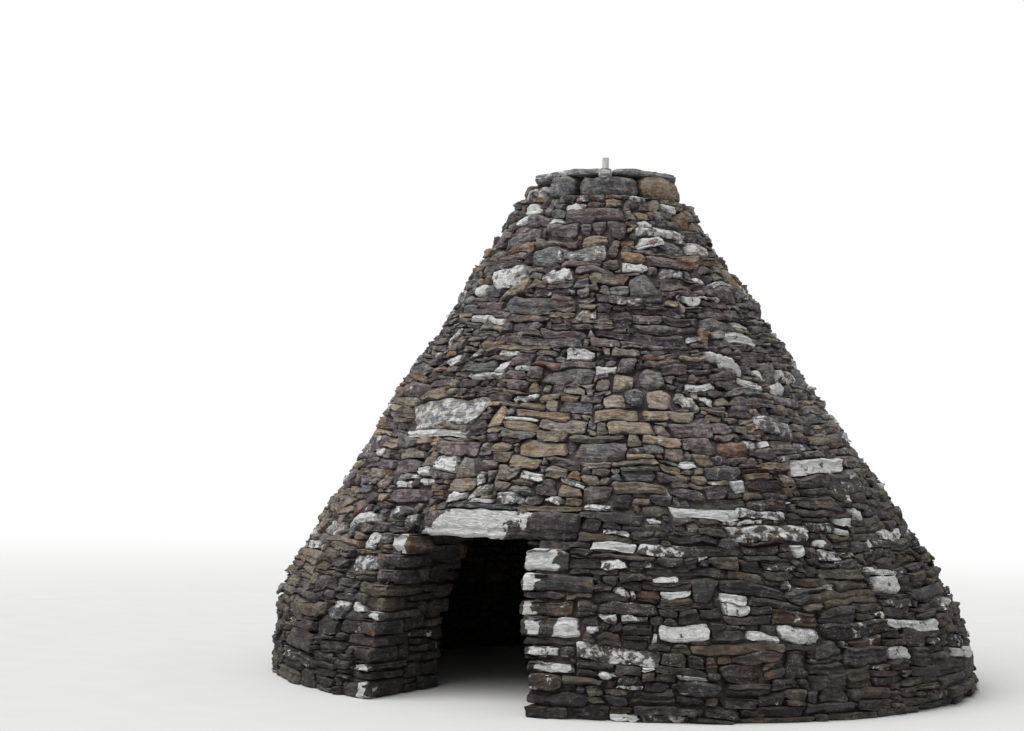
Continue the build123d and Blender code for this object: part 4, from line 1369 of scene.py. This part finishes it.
def layRim(rng):
    low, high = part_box("rim_blocks")
    middle = np.array([(low[0] + high[0]) / 2, (low[1] + high[1]) / 2])
    tree = treeOf(["rim_blocks"])[0]
    for block in looseParts("rim_blocks"):
        away = block[:, :2] - middle
        centre = block[:, :2].mean(axis=0)
        main = math.atan2(centre[1] - middle[1], centre[0] - middle[0])
        turns = (np.arctan2(away[:, 1], away[:, 0]) - main + math.pi) % (2 * math.pi) - math.pi
        start, end = main + turns.min(), main + turns.max()
        degrees = math.degrees(start) % 360
        nearest = min(rimLooks, key=lambda key: abs((key - degrees + 180) % 360 - 180))
        hue, tone, lichen, form, tops, setBack = rimLooks[nearest]
        for part, top in enumerate(tops):
            first = start + (end - start) * part / len(tops) + crown["gap"]
            last = start + (end - start) * (part + 1) / len(tops) - crown["gap"]
            columns = round((last - first) * crown["reach"] / crown["columnLength"])
            columns = max(crown["columnsLeast"], columns)
            path, normals = [], []
            for bearing in np.linspace(first, last, columns + 1):
                way = wayTo(bearing)
                hit = tree.ray_cast(Vector((*middle, (low[2] + high[2]) / 2)) + way * 2, -way)
                place = np.array([hit[0].x, hit[0].y])
                back = crown["secondBack"] * part + setBack
                path.append(place - np.array([way.x, way.y]) * back)
                normals.append(np.array([way.x, way.y]))
            roof = low[2] + (high[2] + crown["thinner"] - low[2]) * top
            cutStone(pieces["rim_blocks"], path, normals, low[2], roof, crown["rimDeep"],
                     (hue, tone, lichen), form, rng, lean=crown["rimLean"], ringBack=True, shear=crownRise)


layRim(masonRandom)


# rock colour, tone and lichen of the cap slabs, and a cobble wedged on the rim at the joint of two of
# them, which goes with the right one: its bearing, reach from the rim's middle, size and look
capLooks = {"cap_slab_right": (0.50, 1.15, 0.42), "cap_slab_back": (0.52, 1.20, 0.48),
            "cap_slab_left": (0.52, 1.40, 0.50)}
cobble = {"owner": "cap_slab_right", "bearing": -61, "reach": 0.60, "wide": 0.115, "deep": 0.085,
          "bed": -0.002, "top": 0.072, "sides": 18, "look": (0.52, 1.35, 0.56), "wear": 0.6}


def layCobble(bed, rng):
    turn = math.radians(cobble["bearing"])
    out = np.array([math.cos(turn), math.sin(turn)])
    across = np.array([-math.sin(turn), math.cos(turn)])
    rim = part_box("rim_blocks")
    x, y = ((rim[0][part] + rim[1][part]) / 2 for part in (0, 1))
    place = np.array([x + cobble["reach"] * out[0], y + cobble["reach"] * out[1]])
    sides = [place + 0.5 * (cobble["wide"] * math.cos(at) * across + cobble["deep"] * math.sin(at) * out)
             for at in np.linspace(0, 2 * math.pi, cobble["sides"], endpoint=False)]
    cutSlab(pieces[cobble["owner"]], sides, bed + cobble["bed"], bed + cobble["top"], cobble["look"], rng,
            cobble["wear"])


for name, look in capLooks.items():
    low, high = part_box(name)
    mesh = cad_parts[name].data
    centre = np.array([vertex.co for vertex in mesh.vertices])[:, :2].mean(axis=0)
    outline = outlineOf(name, (low[2] + high[2]) / 2, centre, crown["capSides"])
    cutSlab(pieces[name], outline, low[2] + crown["thinner"], high[2], look, masonRandom)
    if name == cobble["owner"]:
        layCobble(low[2], masonRandom)
print("lintels and crown laid")


# behind the stones stands the same wall, drawn in from every face, as the earth in the joints, coloured
# near-black partly as painted shade
earthDepth = {"outside": 0.062, "inside": 0.06, "passage": 0.07, "slack": 0.01, "passageEnd": -1}


def earthBehind(name):
    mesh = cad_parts[name].data
    points = np.array([vertex.co for vertex in mesh.vertices])
    for point in points:
        level = min(point[2], crownTop)
        x, y, radius = ringAt(outerLine, level)
        away = math.hypot(point[0] - x, point[1] - y)
        inner = ringAt(innerLine, min(level, innerLine[0][-1]))
        nearest = inner[2] + earthDepth["inside"] if level < chamberTop - earthDepth["slack"] else 0.0
        farthest = radius - earthDepth["outside"] + driftAt(point[0], point[1], level)[2]
        wanted = min(farthest, max(nearest, away))
        if away > 1e-6:
            point[0], point[1] = x + (point[0] - x) * wanted / away, y + (point[1] - y) * wanted / away
        if level < doorTop + earthDepth["slack"] and point[1] < earthDepth["passageEnd"]:
            for side in (-1, 1):
                limit = doorSideAt(side, level) + side * earthDepth["passage"]
                if 0 < point[0] * side < limit * side:
                    point[0] = limit
    faces = [tuple(face.vertices) for face in mesh.polygons]
    looks = np.tile(np.array([0.1, 0.1, 0.0, 0.5]), (len(points), 1))
    pieces[name].add(points, faces, looks, np.zeros(3), 1)


for name in wallNames:
    earthBehind(name)


sharpFrom = 30  # degrees between two faces from which their edge is sharp


def buildPiece(name, masonry, finishes):
    mesh = bpy.data.meshes.new(name + "_stones")
    mesh.from_pydata(np.concatenate(masonry.points), [], masonry.faces)
    look = mesh.attributes.new("look", "FLOAT_COLOR", "POINT")
    look.data.foreach_set("color", np.concatenate(masonry.looks).ravel().astype(np.float32))
    shift = mesh.attributes.new("shift", "FLOAT_VECTOR", "POINT")
    shift.data.foreach_set("vector", np.concatenate(masonry.shifts).ravel().astype(np.float32))
    for finish in finishes:
        mesh.materials.append(finish)
    mesh.polygons.foreach_set("material_index", np.array(masonry.slots, np.int32))
    mesh.polygons.foreach_set("use_smooth", np.ones(len(masonry.faces), bool))
    mesh.set_sharp_from_angle(angle=math.radians(sharpFrom))
    mesh.validate()
    piece = newObject(name + "_stones", mesh)
    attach(piece, "root")
    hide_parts(name)
    return sum(len(polygon.vertices) - 2 for polygon in mesh.polygons)


sizes = {name: buildPiece(name, masonry, [drystone, jointEarthAndShade])
         for name, masonry in pieces.items() if masonry.count}
print("pieces built:", sum(sizes.values()), "triangles, the largest", max(sizes.values()))

# nodes that stay as they are get their own finish
for name, finish in (("closing_slab", drystone), ("crown_hearting", jointEarthAndShade),
                     ("vent_pipe", weatheredPlastic)):
    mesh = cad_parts[name].data
    mesh.materials.clear()
    mesh.materials.append(finish)


# floor, backdrop and light
studio = {"floor": (0.74, 0.735, 0.72), "floorPatch": (0.69, 0.685, 0.67), "floorReach": 120,
          "floorSides": 64, "fadeFrom": 6.0, "fadeTo": 22.0, "sky": 0.50,
          "skyColour": (0.97, 0.985, 1.0, 1), "key": 2.35, "keyTurn": -52, "keyHeight": 58, "keySpread": 60}


def makeFloor():
    make = Maker(bpy.data.materials.new("studio_floor"))
    place = make.node("ShaderNodeTexCoord", {}, {}, 3)
    reach = make.node("ShaderNodeVectorMath", {"operation": "LENGTH"}, {0: place}, 1)
    away = make.step(reach, studio["fadeFrom"], studio["fadeTo"])
    patch = make.noise(place, 3.0, 2.0)
    colour = make.mix(patch, make.colour(*studio["floor"]), make.colour(*studio["floorPatch"]))
    floor = make.node("ShaderNodeBsdfPrincipled", {}, {"Base Color": colour, "Roughness": 0.9})
    glow = make.node("ShaderNodeEmission", {}, {"Color": (1, 1, 1, 1), "Strength": 1.0})
    seen = make.node("ShaderNodeLightPath", {}, {})
    both = make.node("ShaderNodeMixShader", {}, {0: seen * away, 1: floor, 2: glow})
    make.node("ShaderNodeOutputMaterial", {}, {"Surface": both})
    return make.owner


floorMesh = bpy.data.meshes.new("floor")
floorTurns = [count * 2 * math.pi / studio["floorSides"] for count in range(studio["floorSides"])]
floorRing = [(studio["floorReach"] * math.cos(turn), studio["floorReach"] * math.sin(turn), 0)
             for turn in floorTurns]
floorMesh.from_pydata(floorRing, [], [tuple(range(studio["floorSides"]))])
floorMesh.materials.append(makeFloor())
floor = newObject("floor", floorMesh)


def makeWorld():  # soft light all round, and plain white where the camera sees past the floor
    make = Maker(bpy.data.worlds.new("studio"))
    soft = make.node("ShaderNodeBackground", {}, {"Color": studio["skyColour"], "Strength": studio["sky"]})
    white = make.node("ShaderNodeBackground", {}, {"Color": (1, 1, 1, 1), "Strength": 1.0})
    rays = make.node("ShaderNodeLightPath", {}, {})
    seen = rays
    for ray in ("Is Glossy Ray", "Is Transmission Ray"):
        seen = seen.maths("MAXIMUM", seen, rays.other(ray))
    chosen = make.node("ShaderNodeMixShader", {}, {0: seen, 1: soft, 2: white})
    make.node("ShaderNodeOutputWorld", {}, {"Surface": chosen})
    return make.owner


bpy.context.scene.world = makeWorld()

sun = newObject("key", bpy.data.lights.new("key", "SUN"))
sun.data.energy = studio["key"]
sun.data.angle = math.radians(studio["keySpread"])
keyTurn = math.radians(view["bearing"] + studio["keyTurn"])
keyHeight = math.radians(studio["keyHeight"])
keyWay = Vector((-math.sin(keyTurn) * math.cos(keyHeight), math.cos(keyTurn) * math.cos(keyHeight),
                 -math.sin(keyHeight)))
sun.rotation_mode = "QUATERNION"
sun.rotation_quaternion = keyWay.to_track_quat("-Z", "Y")

bpy.context.scene.view_settings.view_transform = "Standard"
print("stage and light set")
